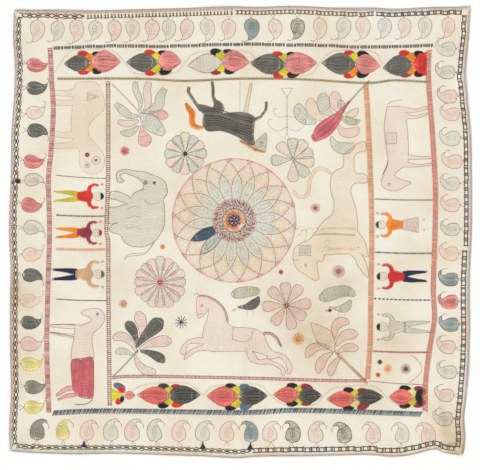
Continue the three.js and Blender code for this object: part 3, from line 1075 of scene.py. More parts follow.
def bud(base, tip, half_width, dye, line_dye, filling="streaked", profile=bud_profile):
    """A fat bud that tapers to its tip, with rows that meet there."""
    way = np.subtract(tip, base)
    rows = bent(base, np.degrees(np.arctan2(way[1], way[0])), np.hypot(*way), half_width, profile)
    return rows, dye, line_dye, filling, 1.9


def petals(joint, height, arm, near, far):
    """The petals fanned over and under a joint: an arm, one near the left bud and one far."""
    x, y = joint
    found = []
    for side, arm_dye, near_dye, far_dye in zip((1, -1), arm, near, far):
        lean = chance.uniform(-1.5, 1.5, 3)
        found += [
            (bent((x + 5 + lean[0], y - side), side * 120, height * 1.18, 8.0, block_profile),
             arm_dye, arm_dye, "raised", 1.2),
            (bent((x + lean[1], y + side * height * 0.84), side * 166, 23, 7, oval_profile,
                  side * 20), near_dye, near_dye, "raised", 1.2),
            (bent((x + 2 + lean[2], y + side * height * 0.95), side * -12, 26, 9.4, oval_profile,
                  side * -30), far_dye, far_dye, "raised", 1.2),
        ]
    return found


# Left bud: tip, base, half width. Right bud: base, tip, half width. Petals: arms, near, far
upper_pairs = (
    ((-328, 313), (-280, 315), 15.5, (-273, 318), (-223, 317), 20.4,
     ("orange", "orange"), ("red", "red"), ("black", "black")),
    ((-212, 316), (-156, 315), 17.7, (-150, 320), (-110, 317), 18.6,
     ("lime", "lime"), ("red", "red"), ("black", "black")),
    ((-98, 310), (-35, 317), 18, (-31, 320), (16, 316), 20,
     ("lime", "lime"), ("black", "crimson"), ("black", "black")),
    ((18, 315), (82, 311), 19, (83, 313), (142, 315), 20.6,
     ("lime", "lime"), ("red", "red"), ("black", "black")),
    ((151, 315), (213, 312), 20, (216, 315), (259, 309), 18.6,
     ("lime", "orange"), ("red", "red"), ("black", "black")),
)
lower_pairs = (
    ((-192, -302), (-132, -304), 16.4, (-130, -302), (-75, -302), 17.4,
     ("lime", "lime"), ("charcoal", "black"), ("red", "red")),
    ((-63, -304), (-6, -306), 19, (-1, -304), (50, -304), 17.4,
     ("lime", "lime"), ("black", "black"), ("slate", "slate")),
    ((61, -302), (108, -302), 15, (110, -304), (151, -303), 14.8,
     ("lime", "lime"), ("black", "black"), ("crimson", "crimson")),
    ((160, -310), (212, -310), 15, (218, -306), (265, -306), 14.4,
     ("lime", "straw"), ("black", "black"), ("crimson", "crimson")),
)
for pairs, left_dyes, right_dyes in (
    (upper_pairs, ("smoke", "ink"), ("madder", "rose")),
    (lower_pairs, ("brick", "rose"), ("coal", "black")),
):
    for number, (*left_bud, right_base, right_tip, right_half, arm, near, far) in enumerate(pairs):
        left_tip, left_base, left_half = left_bud
        pale = pairs is upper_pairs and number == 2
        left = ("sage", "mauve", "pale") if pale else (*left_dyes, "streaked")
        heap([
            bud(np.add(left_base, (3, 0)), left_tip, left_half, *left, lens_profile),
            bud(np.subtract(right_base, (3, 0)), right_tip, right_half, *right_dyes),
            *petals(left_base, left_half, arm, near, far),
        ])
        # Dark veins
        for half, base, tip, dye in ((left_half, left_base, left_tip, left_dyes[1]),
                                     (right_half, right_base, right_tip, right_dyes[1])):
            middle, way = (np.array(base) + tip) / 2, (np.array(tip) - base) / 2
            side = np.array([-way[1], way[0]]) / np.hypot(*way)
            for share in (-0.5, -0.18, 0.16, 0.48):
                arc = [middle + way * t + side * half * share * (1 - t * t) * 1.1
                       for t in chance.uniform(-0.08, 0.08, 3) + (-0.6, 0, 0.66)]
                if not (pale and dye == left_dyes[1]):
                    running(smooth(arc), dye, 5, 0.2, 2.2 if dye in ("ink", "black") else 1.8)

# Both bands end in a pair cut off by the frame, and the lower one begins with a small one
cut_red = smooth(((321, 313, 2), (326, 313, 12), (333, 313, 18), (346, 313, 22)))
cut_black = smooth(((324, -306, 2), (328, -306, 11), (333, -306, 15), (339, -306, 16)))
heap([
    bud((321, 314), (265, 305), 19.4, "smoke", "ink", profile=lens_profile),
    (cut_red, "red", "red", "streaked", 1.6),
    *petals((318, 313), 19, ("orange", "orange"), ("red", "crimson"), ("black", "black")),
])
heap([
    bud((321, -306), (276, -306), 15, "brick", "rose", profile=lens_profile),
    (cut_black, "black", "black", "streaked", 1.6),
    *petals((318, -306), 14.5, ("straw", "lime"), ("black", "black"), ("crimson", "crimson")),
])
heap([
    (bent((-216, -303), 0, 20, 8, lens_profile), "madder", "rose", "close", 1.5),
    (smooth(((-240, -302, 12), (-232, -302, 9), (-226, -302, 5), (-219, -302, 1))), "lime",
     "lime", "raised", 1.2),
    (bent((-214, -297), 150, 17, 5, oval_profile), "red", "red", "raised", 1.2),
    (bent((-218, -304), 250, 13, 4, oval_profile), "black", "black", "raised", 1.2),
    (bent((-219, -311), 205, 15, 5.5, oval_profile), "red", "red", "raised", 1.2),
    (bent((-214, -291), 158, 24, 6, oval_profile), "slate", "navy", "raised", 1.2),
])

# The vine swings round each pair, over one and under the next
upper_vine = smooth([(-345, 296), (-318, 334), (-282, 339), (-240, 337), (-216, 316), (-196, 295),
                     (-150, 292), (-118, 298), (-102, 316), (-84, 332), (-34, 338), (16, 334),
                     (28, 314), (44, 295), (86, 290), (132, 294), (147, 314), (168, 334),
                     (214, 338), (250, 333), (262, 314), (280, 294), (316, 291)])
lower_vine = smooth([(-205, -300), (-186, -286), (-150, -281), (-96, -282), (-70, -303),
                     (-54, -288), (-8, -283), (34, -284), (56, -304), (74, -318), (106, -322),
                     (140, -320), (156, -304), (176, -290), (214, -286), (250, -288),
                     (270, -306), (296, -324), (322, -326)])
for vine in (upper_vine, lower_vine):
    running(vine, "peach", 2.8, 0.5, 1.2)
    running(beside(vine, 1.8), "ash", 2.8, 1.6, 0.7)

sew("bud_band_threads", thread)


# The lotus in the middle: two sets of arcs leave a round medallion, one turning each way. They
# cross to make petals, then diamonds, and last a rim of triangles inside the outer circle.
lotus_middle = np.array((-12, 22))
lotus_petals = 18
lotus_turn = 5
medallion_radius, arcs_part, petal_tips, diamond_tips, lotus_radius = 38, 58, 89, 109, 115
half_petal = 180 / lotus_petals


def arc_turn(radius):
    """How many degrees an arc has turned at a radius. It leaves the medallion straight, has
    turned by half a petal at the petal tips, and by a whole one at the diamond tips."""
    way_out = np.clip((radius - arcs_part) / (petal_tips - arcs_part), 0, None)
    return half_petal * way_out ** 1.38


def around_lotus(radius, degrees):
    """Points round the middle of the lotus."""
    return around(lotus_middle, radius, np.radians(degrees))


def lotus_cell(start, stop, degrees, half_angle):
    """A cell of the lotus as rows of x, y and half width along its radius."""
    radius = np.linspace(start, stop, 20)
    half_width = radius * np.sin(np.radians(np.clip(half_angle(radius), 0, None)))
    return np.column_stack([around_lotus(radius, np.full(radius.shape, degrees)), half_width])


def petal_half(radius):
    """Half of a petal's angle."""
    return half_petal - arc_turn(radius)


def diamond_half(radius):
    """Half of a diamond's angle."""
    return np.minimum(arc_turn(radius), 2 * half_petal - arc_turn(radius))


def rim_half(radius):
    """Half of a rim triangle's angle."""
    return arc_turn(radius) - half_petal


dark_petals = {
    10: ("steel", "haze", "streaked", "black"),
    11: ("haze", "slate", "medium", "smoke"),
}
for petal in range(lotus_petals):
    middle_turn = lotus_turn + petal * 2 * half_petal
    dye, core_dye, filling, line_dye = dark_petals.get(petal, ("mist", "mist", "open", "brown"))
    fill_along(lotus_cell(medallion_radius + 1, petal_tips, middle_turn, petal_half), dye, filling)
    core = bent(around_lotus(50, middle_turn), middle_turn, 28, 3.6, oval_profile)
    running(edge(core), core_dye, 2.8, 0.6, 1.7 if petal in dark_petals else 1.1)
    inner = np.linspace(medallion_radius, arcs_part + 8, 6)
    outer = np.linspace(arcs_part + 8, lotus_radius, 14)
    at = middle_turn + half_petal
    fill_along(lotus_cell(arcs_part + 4, diamond_tips, at, diamond_half), "peach", "open")
    fill_along(lotus_cell(petal_tips + 2, lotus_radius, middle_turn, rim_half), "pink", "tint")
    tile = lotus_cell(arcs_part + 14, diamond_tips - 7, at, lambda r: diamond_half(r) - 2.6)
    running(edge(tile), "peach", 2.6, 0.6, 1.2)
    for side in (1, -1):
        running(around_lotus(inner, at + side * arc_turn(inner)), "grey", 2.7, 0.4, 1.0)
        crossing = around_lotus(outer, at + side * arc_turn(outer))
        running(crossing, "brown", 2.7, 0.4, 1.1)
        running(beside(crossing, 0.8), "coral", 2.7, 0.5, 1.0)
        if petal in dark_petals:
            near = np.linspace(medallion_radius, petal_tips, 14)
            own_edge = around_lotus(near, middle_turn + side * petal_half(near))
            running(own_edge, line_dye, 2.7, 0.2, 1.9)
full_turn = np.linspace(0, 360, 97)
running(around_lotus(lotus_radius, full_turn), "rose", 2.7, 0.3, 1.2)
running(around_lotus(lotus_radius - 1.6, full_turn), "coral", 2.7, 0.8, 1.0)

# The medallion is rings of slanting stitches: radii, count, slant, threads and width
medallion_rings = (
    (35, 39.5, 130, 5, ("mauve", "crimson", "plum", "pink"), 1.3),
    (31.5, 36, 120, 8, ("crimson", "pink", "plum", "mauve"), 1.3),
    (28, 32, 104, 9, ("plum", "grey", "mauve", "white"), 1.2),
    (24.5, 28.5, 92, -9, ("smoke", "charcoal", "ash", "white"), 1.2),
    (20.5, 24.5, 76, 12, ("ash", "charcoal", "grey", "coral"), 1.3),
    (12.5, 21, 44, 34, ("orange", "coral", "orange", "peach", "rose"), 1.6),
    (8, 13, 38, 30, ("plum", "navy", "plum", "coral"), 1.4),
    (1.5, 8.5, 24, 40, ("plum", "navy"), 1.8),
)
for inner, outer, count, slant, dye, width in medallion_rings:
    strokes(lotus_middle, inner, outer, count, slant, dye, width)
running(around_lotus(medallion_radius + 2, full_turn), "mauve", 2.0, 0.9, 1.3)
running(around_lotus(28.3, full_turn), "mauve", 2.0, 1.0, 1.4)
running(around_lotus(21.6, full_turn), "coral", 2.0, 0.9, 1.4)
for angle in np.arange(5) * 72 + 18:
    running(around_lotus(np.array((2.6, 7.4)), angle), "white", 5, 0, 2.2)
strokes(lotus_middle, 0.2, 2.2, 5, 0, "red", 1.6)

sew("lotus_threads", thread)


# The flowers and corner sprays: rosettes of plump petals, and in each corner of the field a
# stem that runs towards the lotus with leaves that curl back on both sides of it.
petal_profile = ((0, 0.05), (0.3, 0.42), (0.55, 0.8), (0.74, 1), (0.87, 0.9), (0.95, 0.6), (1, 0))

# How petals and leaves are coloured: rows, outline, filling
leaf_ways = {
    "pink": ("pink", "grey", "open"), "brown": ("pink", "umber", "pale"),
    "blush": ("pink", "mauve", "open"), "leafy": ("sage", "mauve", "open"),
    "mist": ("mist", "smoke", "pale"), "sage": ("sage", "smoke", "pale"),
    "moss": ("sage", "olive", "medium"), "peach": ("peach", "brown", "pale"),
    "dark": ("smoke", "ink", "streaked"), "rosy": ("madder", "mauve", "medium"),
    "red": ("claret", "crimson", "streaked"),
}


def leaf(rows, way):
    """A leaf or petal from rows of x, y and half width: stitches along it, and an outline."""
    dye, line_dye, filling = leaf_ways[way]
    shape = smooth(rows, steps=6)
    fill_along(shape, dye, filling)
    running(edge(shape), line_dye, 2.7, 0.4, 1.9 if filling == "streaked" else 1.3)
    if filling == "streaked":
        heart = shape[len(shape) // 3:-len(shape) // 5]
        for share in (-0.4, 0, 0.4):
            running(offset_line(heart, share), line_dye if share else "ash", 3, 0.6, 1.8)


def rosette(x, y, radius, half_width, headings, ways):
    """A flower of petals from one middle, each at its heading, whose colours take turns."""
    for k, heading in enumerate(headings):
        at = around((x, y), 2, np.radians(heading))
        reach = radius * chance.uniform(0.95, 1.03) - 2
        leaf(bent(at, heading + chance.uniform(-2, 2), reach, half_width, petal_profile)[::2],
             ways[k % len(ways)])


rosette(-103, 146, 41, 9.6, 90 - np.arange(12) * 30,
        ("peach", "mist", "pink", "sage", "pink", "mist", "peach", "sage", "pink", "mist", "pink",
         "sage"))
rosette(97.5, 135.5, 42, 10.4, (58, 90, 22, -8, -48, -90, 184, 134),
        ("peach", "sage", "sage", "peach", "sage", "pink", "sage", "pink"))
rosette(-149.7, -93.2, 50, 9.6, 90 - np.arange(16) * 22.5, ("leafy", "blush"))
rosette(85.4, -135.7, 46, 10.2, (92, 54, 4, -36, -76, -124, 182, 134), ("brown",))
strokes((-103, 146), 0.5, 4.5, 12, 0, "black", 2.2)
strokes((-149.7, -93.2), 1, 5, 10, 6, "red", 2.0)
strokes((-149.7, -93.2), 5.5, 8, 16, 6, "white", 1.4)
strokes((85.4, -135.7), 1, 6, 10, 10, ("crimson", "grey"), 1.5)
strokes((97.5, 135.5), 1, 5, 8, 0, ("rose", "white"), 1.5)


def spray(leaves):
    """Leaves from a table of their rows and colourings."""
    for rows, way in leaves:
        leaf(rows, way)


def stem(line, dye, half_width):
    """A stem of a few lines side by side."""
    for distance in np.linspace(-half_width, half_width, int(half_width / 0.8) + 2):
        running(beside(smooth(line), distance), dye, 2.8, 0.5, 1.2)


# Upper left: rows of x, y and half width for each leaf, and its colouring
upper_left_leaves = (
    (((-188, 226, 1.5), (-186, 240, 4), (-190, 254, 5.6), (-195, 266, 5.6), (-195, 280, 4)), "sage"),
    (((-180, 226, 2), (-172, 236, 5.4), (-173, 252, 7.4), (-174, 264, 7), (-170, 279, 5.4)), "pink"),
    (((-184, 223, 2), (-166, 227, 6.5), (-152, 237, 9), (-149, 252, 8), (-141, 267, 5.6)), "mist"),
    (((-190, 216, 2), (-206, 217, 6), (-219, 227, 7.8), (-232, 239, 4)), "sage"),
    (((-190, 208, 2), (-202, 203, 5.4), (-214, 202, 6.2), (-227, 206, 4)), "pink"),
    (((-190, 198, 2), (-200, 188, 5.6), (-211, 184, 6.6), (-223, 186, 2)), "sage"),
    (((-187, 221, 2), (-178, 213, 10), (-166, 203, 15), (-152, 191, 11), (-142, 182, 5)), "mist"),
    (((-170, 225, 1.5), (-162, 221, 4), (-151, 219, 8), (-143, 218, 9), (-135, 217, 3)), "rosy"),
    (((-184, 198, 1.5), (-183, 188, 5), (-179, 174, 12), (-176, 166, 11), (-174, 160, 3)), "rosy"),
)
stem(((-239, 276), (-212, 249), (-187, 222)), "pink", 1.2)
spray(upper_left_leaves)

# Upper right: comma leaves on both sides of a bright bud
upper_right_leaves = (
    (((109, 239, 3), (109, 230, 10), (112, 218, 11.4), (122, 208, 8), (140, 203, 2)), "mist"),
    (((131, 249, 3), (131, 241, 9.4), (134, 228, 11), (142, 216, 8), (158, 209, 2)), "peach"),
    (((154, 259, 3), (154, 251, 10), (154, 238, 11.8), (159, 226, 9), (172, 217, 2)), "sage"),
    (((176, 262, 3), (176, 254, 9.4), (176, 242, 11), (181, 231, 8), (194, 224, 2)), "blush"),
    (((184, 246, 2), (186, 241, 6.5), (188, 235, 6.5), (196, 231, 2)), "mist"),
    (((218, 231, 1), (213, 224, 6), (204, 219, 6.5), (196, 220, 2)), "peach"),
    (((222, 209, 1), (214, 205, 5.6), (202, 207, 6.8), (190, 212, 4), (184, 218, 1)), "moss"),
    (((218, 197, 1), (214, 189, 7.4), (203, 184, 8.8), (190, 187, 7), (180, 200, 2)), "blush"),
    (((209, 167, 1), (205, 160, 8), (192, 156, 10.6), (176, 162, 8), (168, 178, 2)), "mist"),
    (((203, 244, 1.5), (190, 228, 3), (180, 214, 8), (166, 200, 13), (152, 188, 14),
      (141, 178, 9), (134, 173, 5)), "red"),
)
stem(((240, 282), (220, 262), (200, 240)), "grey", 1.2)
spray(upper_right_leaves)

# Lower left: dark clubs among pink leaves
lower_left_leaves = (
    (((-192, -224, 1.5), (-203, -206, 5), (-216, -195, 8), (-228, -194, 8), (-236, -199, 3)), "brown"),
    (((-184, -200, 1.5), (-183, -184, 5.6), (-184, -168, 9.6), (-188, -156, 10),
      (-191, -147, 3)), "brown"),
    (((-190, -212, 1.5), (-195, -196, 4.6), (-200, -182, 8), (-207, -173, 9),
      (-214, -169, 3)), "dark"),
    (((-194, -214, 1.5), (-179, -195, 7), (-162, -178, 12), (-153, -169, 12.4),
      (-145, -162, 3)), "dark"),
    (((-188, -217, 1.5), (-170, -208, 6), (-152, -203, 9.6), (-138, -202, 9.6),
      (-128, -203, 3)), "brown"),
    (((-186, -221, 1.5), (-170, -224, 5), (-154, -231, 8.4), (-147, -236, 7.6),
      (-142, -242, 2)), "dark"),
    (((-196, -228, 1.5), (-190, -244, 5.6), (-178, -256, 8), (-166, -259, 7.6),
      (-158, -257, 3)), "brown"),
    (((-200, -228, 1.5), (-212, -222, 4.6), (-224, -221, 6.4), (-232, -224, 2)), "sage"),
)
stem(((-237, -268), (-212, -243), (-190, -218)), "grey", 1.2)
spray(lower_left_leaves)

# Lower right: comma leaves with round ends, on a thick stem
lower_right_leaves = (
    (((201, -170, 2), (196, -167, 6.5), (185, -167, 9), (176, -177, 7.5), (174, -197, 2)), "brown"),
    (((218, -188, 2), (211, -189, 8), (199, -190, 9.5), (187, -197, 6.5), (178, -211, 2)), "brown"),
    (((219, -214, 2), (212, -215, 7), (201, -214, 7.5), (190, -217, 5), (180, -225, 2)), "brown"),
    (((123, -233, 2), (126, -225, 7), (134, -216, 8.5), (148, -212, 6.5), (165, -215, 2)), "brown"),
    (((145, -262, 2), (146, -253, 7.5), (150, -242, 8.5), (158, -232, 6), (171, -224, 2)), "brown"),
    (((167, -267, 2), (168, -259, 7), (171, -250, 7), (177, -241, 5), (185, -232, 2)), "brown"),
    (((174, -222, 1), (166, -208, 11), (156, -195, 16), (143, -181, 10), (131, -168, 1)), "peach"),
)
stem(((236, -281), (204, -250), (174, -220)), "ochre", 2.6)
stem(((232, -276), (206, -250)), "brown", 1.2)
spray(lower_right_leaves)

# Small rounds scattered over the field: x, y, radius, strokes, slant, threads, thread width
small_rounds = (
    (-215, 151, 9, 15, 24, ("rose", "rose", "coral"), 2.0),
    (-145, -27, 5, 9, 30, ("orange", "ochre"), 2.2),
    (-218, -133, 8, 12, 10, ("coral", "peach"), 2.2), (139, 45, 9.5, 13, 10, "rose", 1.5),
    (-110, -167, 12, 11, 60, ("plum", "slate", "navy"), 1.7), (75, -74, 4.8, 9, 20, "crimson", 2.0),
    (182, -73, 12.5, 17, 14, ("crimson", "rose"), 1.5), (182, -73, 4, 8, 0, "haze", 1.5),
    (107, -198, 11.5, 17, 20, ("orange", "ochre"), 1.9), (259, -241, 5, 9, 24, "navy", 2.0),
    (255.5, -265, 5, 9, 24, "red", 2.0), (274, -254, 9, 13, 0, ("orange", "coral"), 1.6),
    (307, -254, 10, 13, 0, ("black", "crimson"), 1.6),
)
for x, y, radius, count, slant, dye, width in small_rounds:
    strokes((x, y), 0.5, radius, count, slant, dye, width)
running(smooth(((316, -228), (330, -238), (337, -254), (329, -268), (312, -280))), "rose",
        2.8, 0.4, 1.5)

# A scroll plant, upright beside the upper spray
for side in (1, -1):
    for height, reach, droop in ((226, 24, 14), (206, 34, 20)):
        middle = (86, height - 10)
        running(smooth((middle, (86 + side * reach * 0.5, height - droop + 2),
                        (86 + side * reach, height - 6), (86 + side * reach * 0.96, height + 4),
                        (86 + side * reach * 0.76, height + 3))), "grey", 2.8, 0.5, 1.0)
    running(beside(np.array(((86.0, 252.0), (86.0, 182.0))), side * 1.2), "grey", 2.8, 0.5, 1.0)
running(np.array(((86, 252), (75, 268), (97, 268), (86, 252)), float), "grey", 2.8, 0.4, 1.1)
running(smooth(((86, 182), (82, 177), (86, 172), (90, 177)), closed=True), "grey", 2.6, 0.4, 1.0)

sew("flower_threads", thread)


# The animals: an elephant, two horses, a lion and two small birds round the lotus, and a deer,
# a goat and a saddled horse in the side panels, each turned its own way. They are outlined,
# and shaded with rows of running stitch.


def fill_across(outlines, dye, filling, angle):
    """Straight rows of stitches at an angle in degrees over all of several closed outlines. Each
    row runs between its first and second, third and fourth crossing of an outline, and so on,
    and where outlines overlap the stretches are joined."""
    row_gap, length, gap, width, streak = fillings[filling]
    along, up = axes(angle)
    flat = [(outline @ along, outline @ up) for outline in outlines]
    low, high = min(v.min() for _, v in flat), max(v.max() for _, v in flat)
    for row in np.arange(low + row_gap * 0.6, high - row_gap * 0.2, row_gap):
        stretches = []
        for u, v in flat:
            cut = np.flatnonzero((v[:-1] > row) != (v[1:] > row))
            share = (row - v[cut]) / (v[cut + 1] - v[cut])
            crossings = np.sort(u[cut] + share * (u[cut + 1] - u[cut]))
            stretches += list(zip(crossings[0::2], crossings[1::2]))
        joined = []
        for start, end in sorted(stretches):
            if joined and start < joined[-1][1]:
                joined[-1][1] = max(end, joined[-1][1])
            else:
                joined.append([start, end])
        for start, end in joined:
            if end - start > 2:
                ends = np.array([[start + 0.5], [end - 0.5]])
                line = ends * along + row * up
                running(line, dye, length, gap, width, chance.uniform(-0.4, 0.4), streak)


def creature(parts, dye, line_dye, filling, angle, line_width=1.3):
    """Overlapping shapes sewn as one: filled together, and outlined where no other covers
    the line. A part is a closed outline of points, or rows of x, y and half width."""
    outlines = [smooth(part, True, 4) if len(part[0]) == 2 else edge(smooth(part, steps=5))
                for part in parts]
    fill_across(outlines, dye, filling, angle)
    for own in outlines:
        running(own, line_dye, 2.8, 0.4, line_width)
        line = waiting.pop()
        covered = np.any([inside(halfway(line), other) for other in outlines if other is not own]
                         or [np.zeros(len(line), bool)], axis=0)
        waiting.append(line[~covered])


def drawn(points, dye, width=1.3, closed=False):
    """A single curved line of stitches."""
    running(smooth(points, closed, 5), dye, 2.8, 0.4, width)


def ring(x, y, radius, dye, width=1.0):
    """A small circle of stitches, such as an eye."""
    drawn(((x + radius, y), (x, y + radius), (x - radius, y), (x, y - radius)), dye, width, True)


# The elephant faces up, its legs to the left and its trunk curled
creature((
    ((-227, 92), (-231, 103), (-230, 111), (-222, 116), (-211, 117), (-198, 114), (-181, 113),
     (-170, 110), (-157, 104), (-148, 100), (-140, 93), (-137, 84), (-136, 73), (-141, 65),
     (-144, 60), (-142, 52), (-141, 38), (-141, 23), (-143, 8), (-150, -5), (-157, -14), (-168, -22),
     (-181, -27), (-194, -27), (-207, -24), (-217, -16), (-221, -4), (-212, 12), (-211, 34),
     (-210, 50), (-204, 64), (-196, 74), (-182, 80), (-181, 92), (-194, 102), (-206, 107),
     (-216, 110), (-224, 105), (-221, 100), (-217, 97), (-218, 94)),
    ((-212, 18), (-226, 18), (-238, 14), (-243, 9), (-241, 1), (-228, -3), (-212, -6)),
    ((-208, 34), (-228, 36), (-244, 35), (-244, 16), (-226, 18), (-208, 17)),
    ((-208, 33), (-228, 35), (-245, 35), (-244, 46), (-230, 47), (-206, 53)),
    ((-206, 66), (-218, 72), (-228, 76), (-237, 76), (-243, 73), (-244, 63), (-233, 61),
     (-222, 57), (-206, 52)),
), "sage", "smoke", "open", 84, 1.8)
drawn(((-180, 62), (-172, 54), (-161, 52), (-150, 56)), "rose")
drawn(((-193, 103), (-183, 98), (-174, 96)), "smoke")
drawn(((-196, 74), (-186, 78), (-175, 79)), "rose")
strokes((-160, 92), 0.4, 3.4, 9, 0, ("mauve", "plum"), 1.6)
strokes((-176, 92), 0.4, 4.2, 9, 0, "haze", 2)
ring(-176, 92, 4, "smoke", 1.2)
for height in (44, 26, 6):
    drawn(((-210, height), (-196, height + 4), (-184, height)), "smoke", 1.1)
drawn(((-159, -17), (-174, -36), (-190, -39), (-208, -41), (-216, -49)), "smoke", 1.3)
drawn(((-163, -21), (-176, -39), (-192, -43), (-209, -45), (-217, -52)), "smoke", 1.3)

# The dark horse lies on its back, legs up and head to the lower right
creature((
    ((-80, 237), (-66, 236), (-51, 232), (-49, 244), (-42, 245), (-33, 237), (-31, 227), (-35, 220),
     (-20, 222), (-1, 223), (18, 219), (26, 212), (25, 197), (24, 179), (26, 165), (20, 162),
     (7, 170), (-8, 179), (-25, 186), (-38, 189), (-51, 188), (-62, 189), (-69, 197), (-70, 209),
     (-68, 219), (-74, 225), (-80, 232)),
), "smoke", "brown", "streaked", 172, 2.2)
creature((
    ((-72, 228, 5), (-82, 238, 2.6), (-92, 253, 2.4), (-97, 262, 2.6), (-95, 270, 2.4)),
    ((-45, 240, 4), (-51, 252, 2.4), (-51, 266, 2.4), (-53, 280, 2.2)),
    ((22, 209, 3.4), (36, 214, 2), (41, 220, 2), (47, 228, 2), (48, 243, 2)),
), "ash", "brown", "close", 90, 1.7)
creature((((9, 220, 4), (12, 238, 3), (16, 257, 2.6), (20, 278, 2)),), "peach", "ochre", "pale",
         90, 1.6)
drawn(((-1, 224), (-1, 250), (-1, 281)), "haze", 1.3)
for k in range(8):
    drawn(((-70 + k, 230 - 4.6 * k), (-40, 228 - 4.2 * k), (-8, 217 - 4.2 * k), (23, 210 - 5 * k)),
          "ash" if k == 2 else "black", 2.6)
creature((((25, 163), (36, 176), (46, 185), (49, 178), (48, 160), (45, 150), (36, 151)),), "sage",
         "brown", "medium", 60)
ring(39, 166, 2.6, "charcoal", 1.5)
creature((((-1, 170, 2), (14, 162, 2.8), (29, 153, 2.8), (46, 149, 1.4)),), "ochre", "orange",
         "close", 70)
creature((((-102, 240, 2), (-96, 230, 5), (-90, 221, 5.6), (-90, 209, 5), (-87, 198, 5),
           (-70, 193, 3.4)),), "orange", "orange", "close", 90)

# The rose horse gallops to the left
creature((
    ((-81, -122), (-82, -135), (-81, -152), (-78, -160), (-71, -156), (-62, -147), (-60, -141),
     (-61, -158), (-67, -173), (-70, -186), (-70, -197), (-69, -206), (-60, -220), (-36, -221),
     (-10, -221), (12, -221), (34, -224), (55, -232), (60, -221), (53, -213), (48, -202), (43, -190),
     (31, -181), (22, -179), (4, -177), (-13, -176), (-25, -167), (-29, -150), (-38, -136),
     (-51, -126), (-64, -120), (-76, -118)),
    ((-66, -196), (-86, -197), (-99, -202), (-109, -213), (-112, -223), (-107, -228), (-102, -226),
     (-101, -217), (-96, -208), (-88, -206), (-66, -207)),
    ((-105, -236), (-103, -228), (-94, -219), (-79, -212), (-57, -208), (-58, -219), (-75, -220),
     (-88, -225), (-102, -235)),
    ((50, -216), (60, -221), (75, -225), (85, -230), (92, -241), (96, -251), (94, -260), (88, -264),
     (87, -253), (81, -241), (73, -233), (62, -235), (50, -234)),
    ((12, -219), (14, -232), (21, -241), (36, -245), (55, -245), (64, -249), (75, -256), (76, -265),
     (83, -265), (82, -254), (73, -245), (60, -240), (51, -235), (33, -236), (26, -224)),
), "pink", "mauve", "tint", -6, 1.5)
for distance in (0, 2.2):
    drawn(beside(smooth(((-79, -119), (-64, -120), (-51, -125), (-38, -135), (-29, -148),
                         (-25, -167))), distance), "mauve" if distance else "pink", 2.2)
drawn(((-13, -177), (-15, -197), (-5, -202), (10, -203), (20, -195), (22, -180)), "mauve")
drawn(((-86, -117), (-81, -112), (-77, -119)), "mauve")
ring(-72, -136, 2.2, "crimson", 1.4)
drawn(((-81, -154), (-75, -152), (-70, -150)), "crimson")
drawn(((42, -187), (56, -187), (68, -196), (76, -213)), "rose", 3.6)
drawn(((43, -190), (56, -190), (66, -199), (73, -211)), "mauve", 2)

# The lion stands on the right, head down, tail up and back
creature((
    ((170, 107), (179, 116), (189, 120), (192, 129), (192, 144), (209, 158), (219, 166), (232, 168),
     (232, 151), (220, 149), (211, 140), (211, 130), (214, 110), (226, 110), (235, 104), (235, 92),
     (213, 91), (205, 80), (207, 67), (213, 51), (216, 32), (218, 13), (218, 2), (230, -14),
     (235, -33), (237, -46), (224, -40), (217, -26), (209, -39), (183, -40), (155, -41),
     (146, -24), (140, -4), (146, 11), (157, 23), (169, 32), (173, 43), (173, 60), (168, 75),
     (167, 93)),
    ((137, 0), (130, -12), (113, -20), (100, -30), (98, -52), (105, -68), (116, -76), (127, -83),
     (139, -90), (146, -85), (143, -72), (143, -54), (153, -54), (157, -38), (160, -20), (152, -2)),
    ((204, -38), (214, -52), (217, -61), (228, -76), (238, -84), (234, -58), (224, -40),
     (216, -26)),
), "peach", "ochre", "tint", 84, 1.8)
creature((((168, 109, 2.5), (157, 117, 2.8), (144, 118, 3), (135, 110, 3), (128, 93, 3),
           (126, 75, 3), (118, 66, 3), (107, 66, 3), (101, 73, 2.6), (99, 79, 1.4)),), "peach",
         "peach", "open", 84, 1.6)
for y, start, dye in ((7, 150, "peach"), (-4, 136, "olive"), (-31, 160, "peach")):
    for k in range(2):
        drawn(((start, y - k * 2), (start + 26, y + 2 - k * 2), (214, y - k * 2)), dye, 1.4)
for k in range(9):
    angle = np.radians(150 - k * 24)
    x, y = 134 + 28 * np.cos(angle), -22 + 26 * np.sin(angle)
    drawn(((x - 6, y), (x, y + 6), (x + 6, y)), "peach", 1.3)
for y in np.arange(-43, -24, 2.6):
    drawn(((108, y), (120, y + 0.6), (132, y)), "grey", 1.3)
drawn(((103, 4), (111, 11), (121, 7), (123, -3), (118, -16)), "peach", 1.5)
ring(121, -61, 2.6, "brown", 1.5)
drawn(((96, -50), (102, -52), (110, -50)), "ochre", 1.3)

# Two small birds by the lower flowers
leaf(((-17, -116, 2), (-11, -115, 8), (2, -112, 10), (18, -110, 9), (30, -110, 7),
      (36, -113, 2)), "moss")
leaf(((-5, -139, 1), (8, -139, 4), (20, -136, 8), (29, -129, 7), (34, -119, 1)), "dark")
drawn(((-4, -138), (-9, -143), (-13, -145)), "haze", 1.6)
strokes((-13, -145), 0.4, 2.6, 7, 0, "lime", 2.2)
leaf(((146, -122, 3), (153, -121, 9), (164, -116, 12), (180, -111, 11), (195, -109, 10),
      (206, -113, 7), (212, -119, 2)), "moss")
leaf(((170, -141, 2), (178, -142, 3.6), (188, -142, 6.6), (197, -138, 8), (205, -126, 2)), "moss")
strokes((166, -145), 0.4, 3.4, 8, 0, "black", 2.2)
strokes((160, -146), 0.3, 2, 5, 0, "red", 1.8)
strokes((167, -139), 0.3, 1.8, 5, 0, "red", 1.8)
for x in (12, 23, 182, 193):
    drawn(((x, -146), (x + 1, -150), (x, -156)), "peach", 1.4)

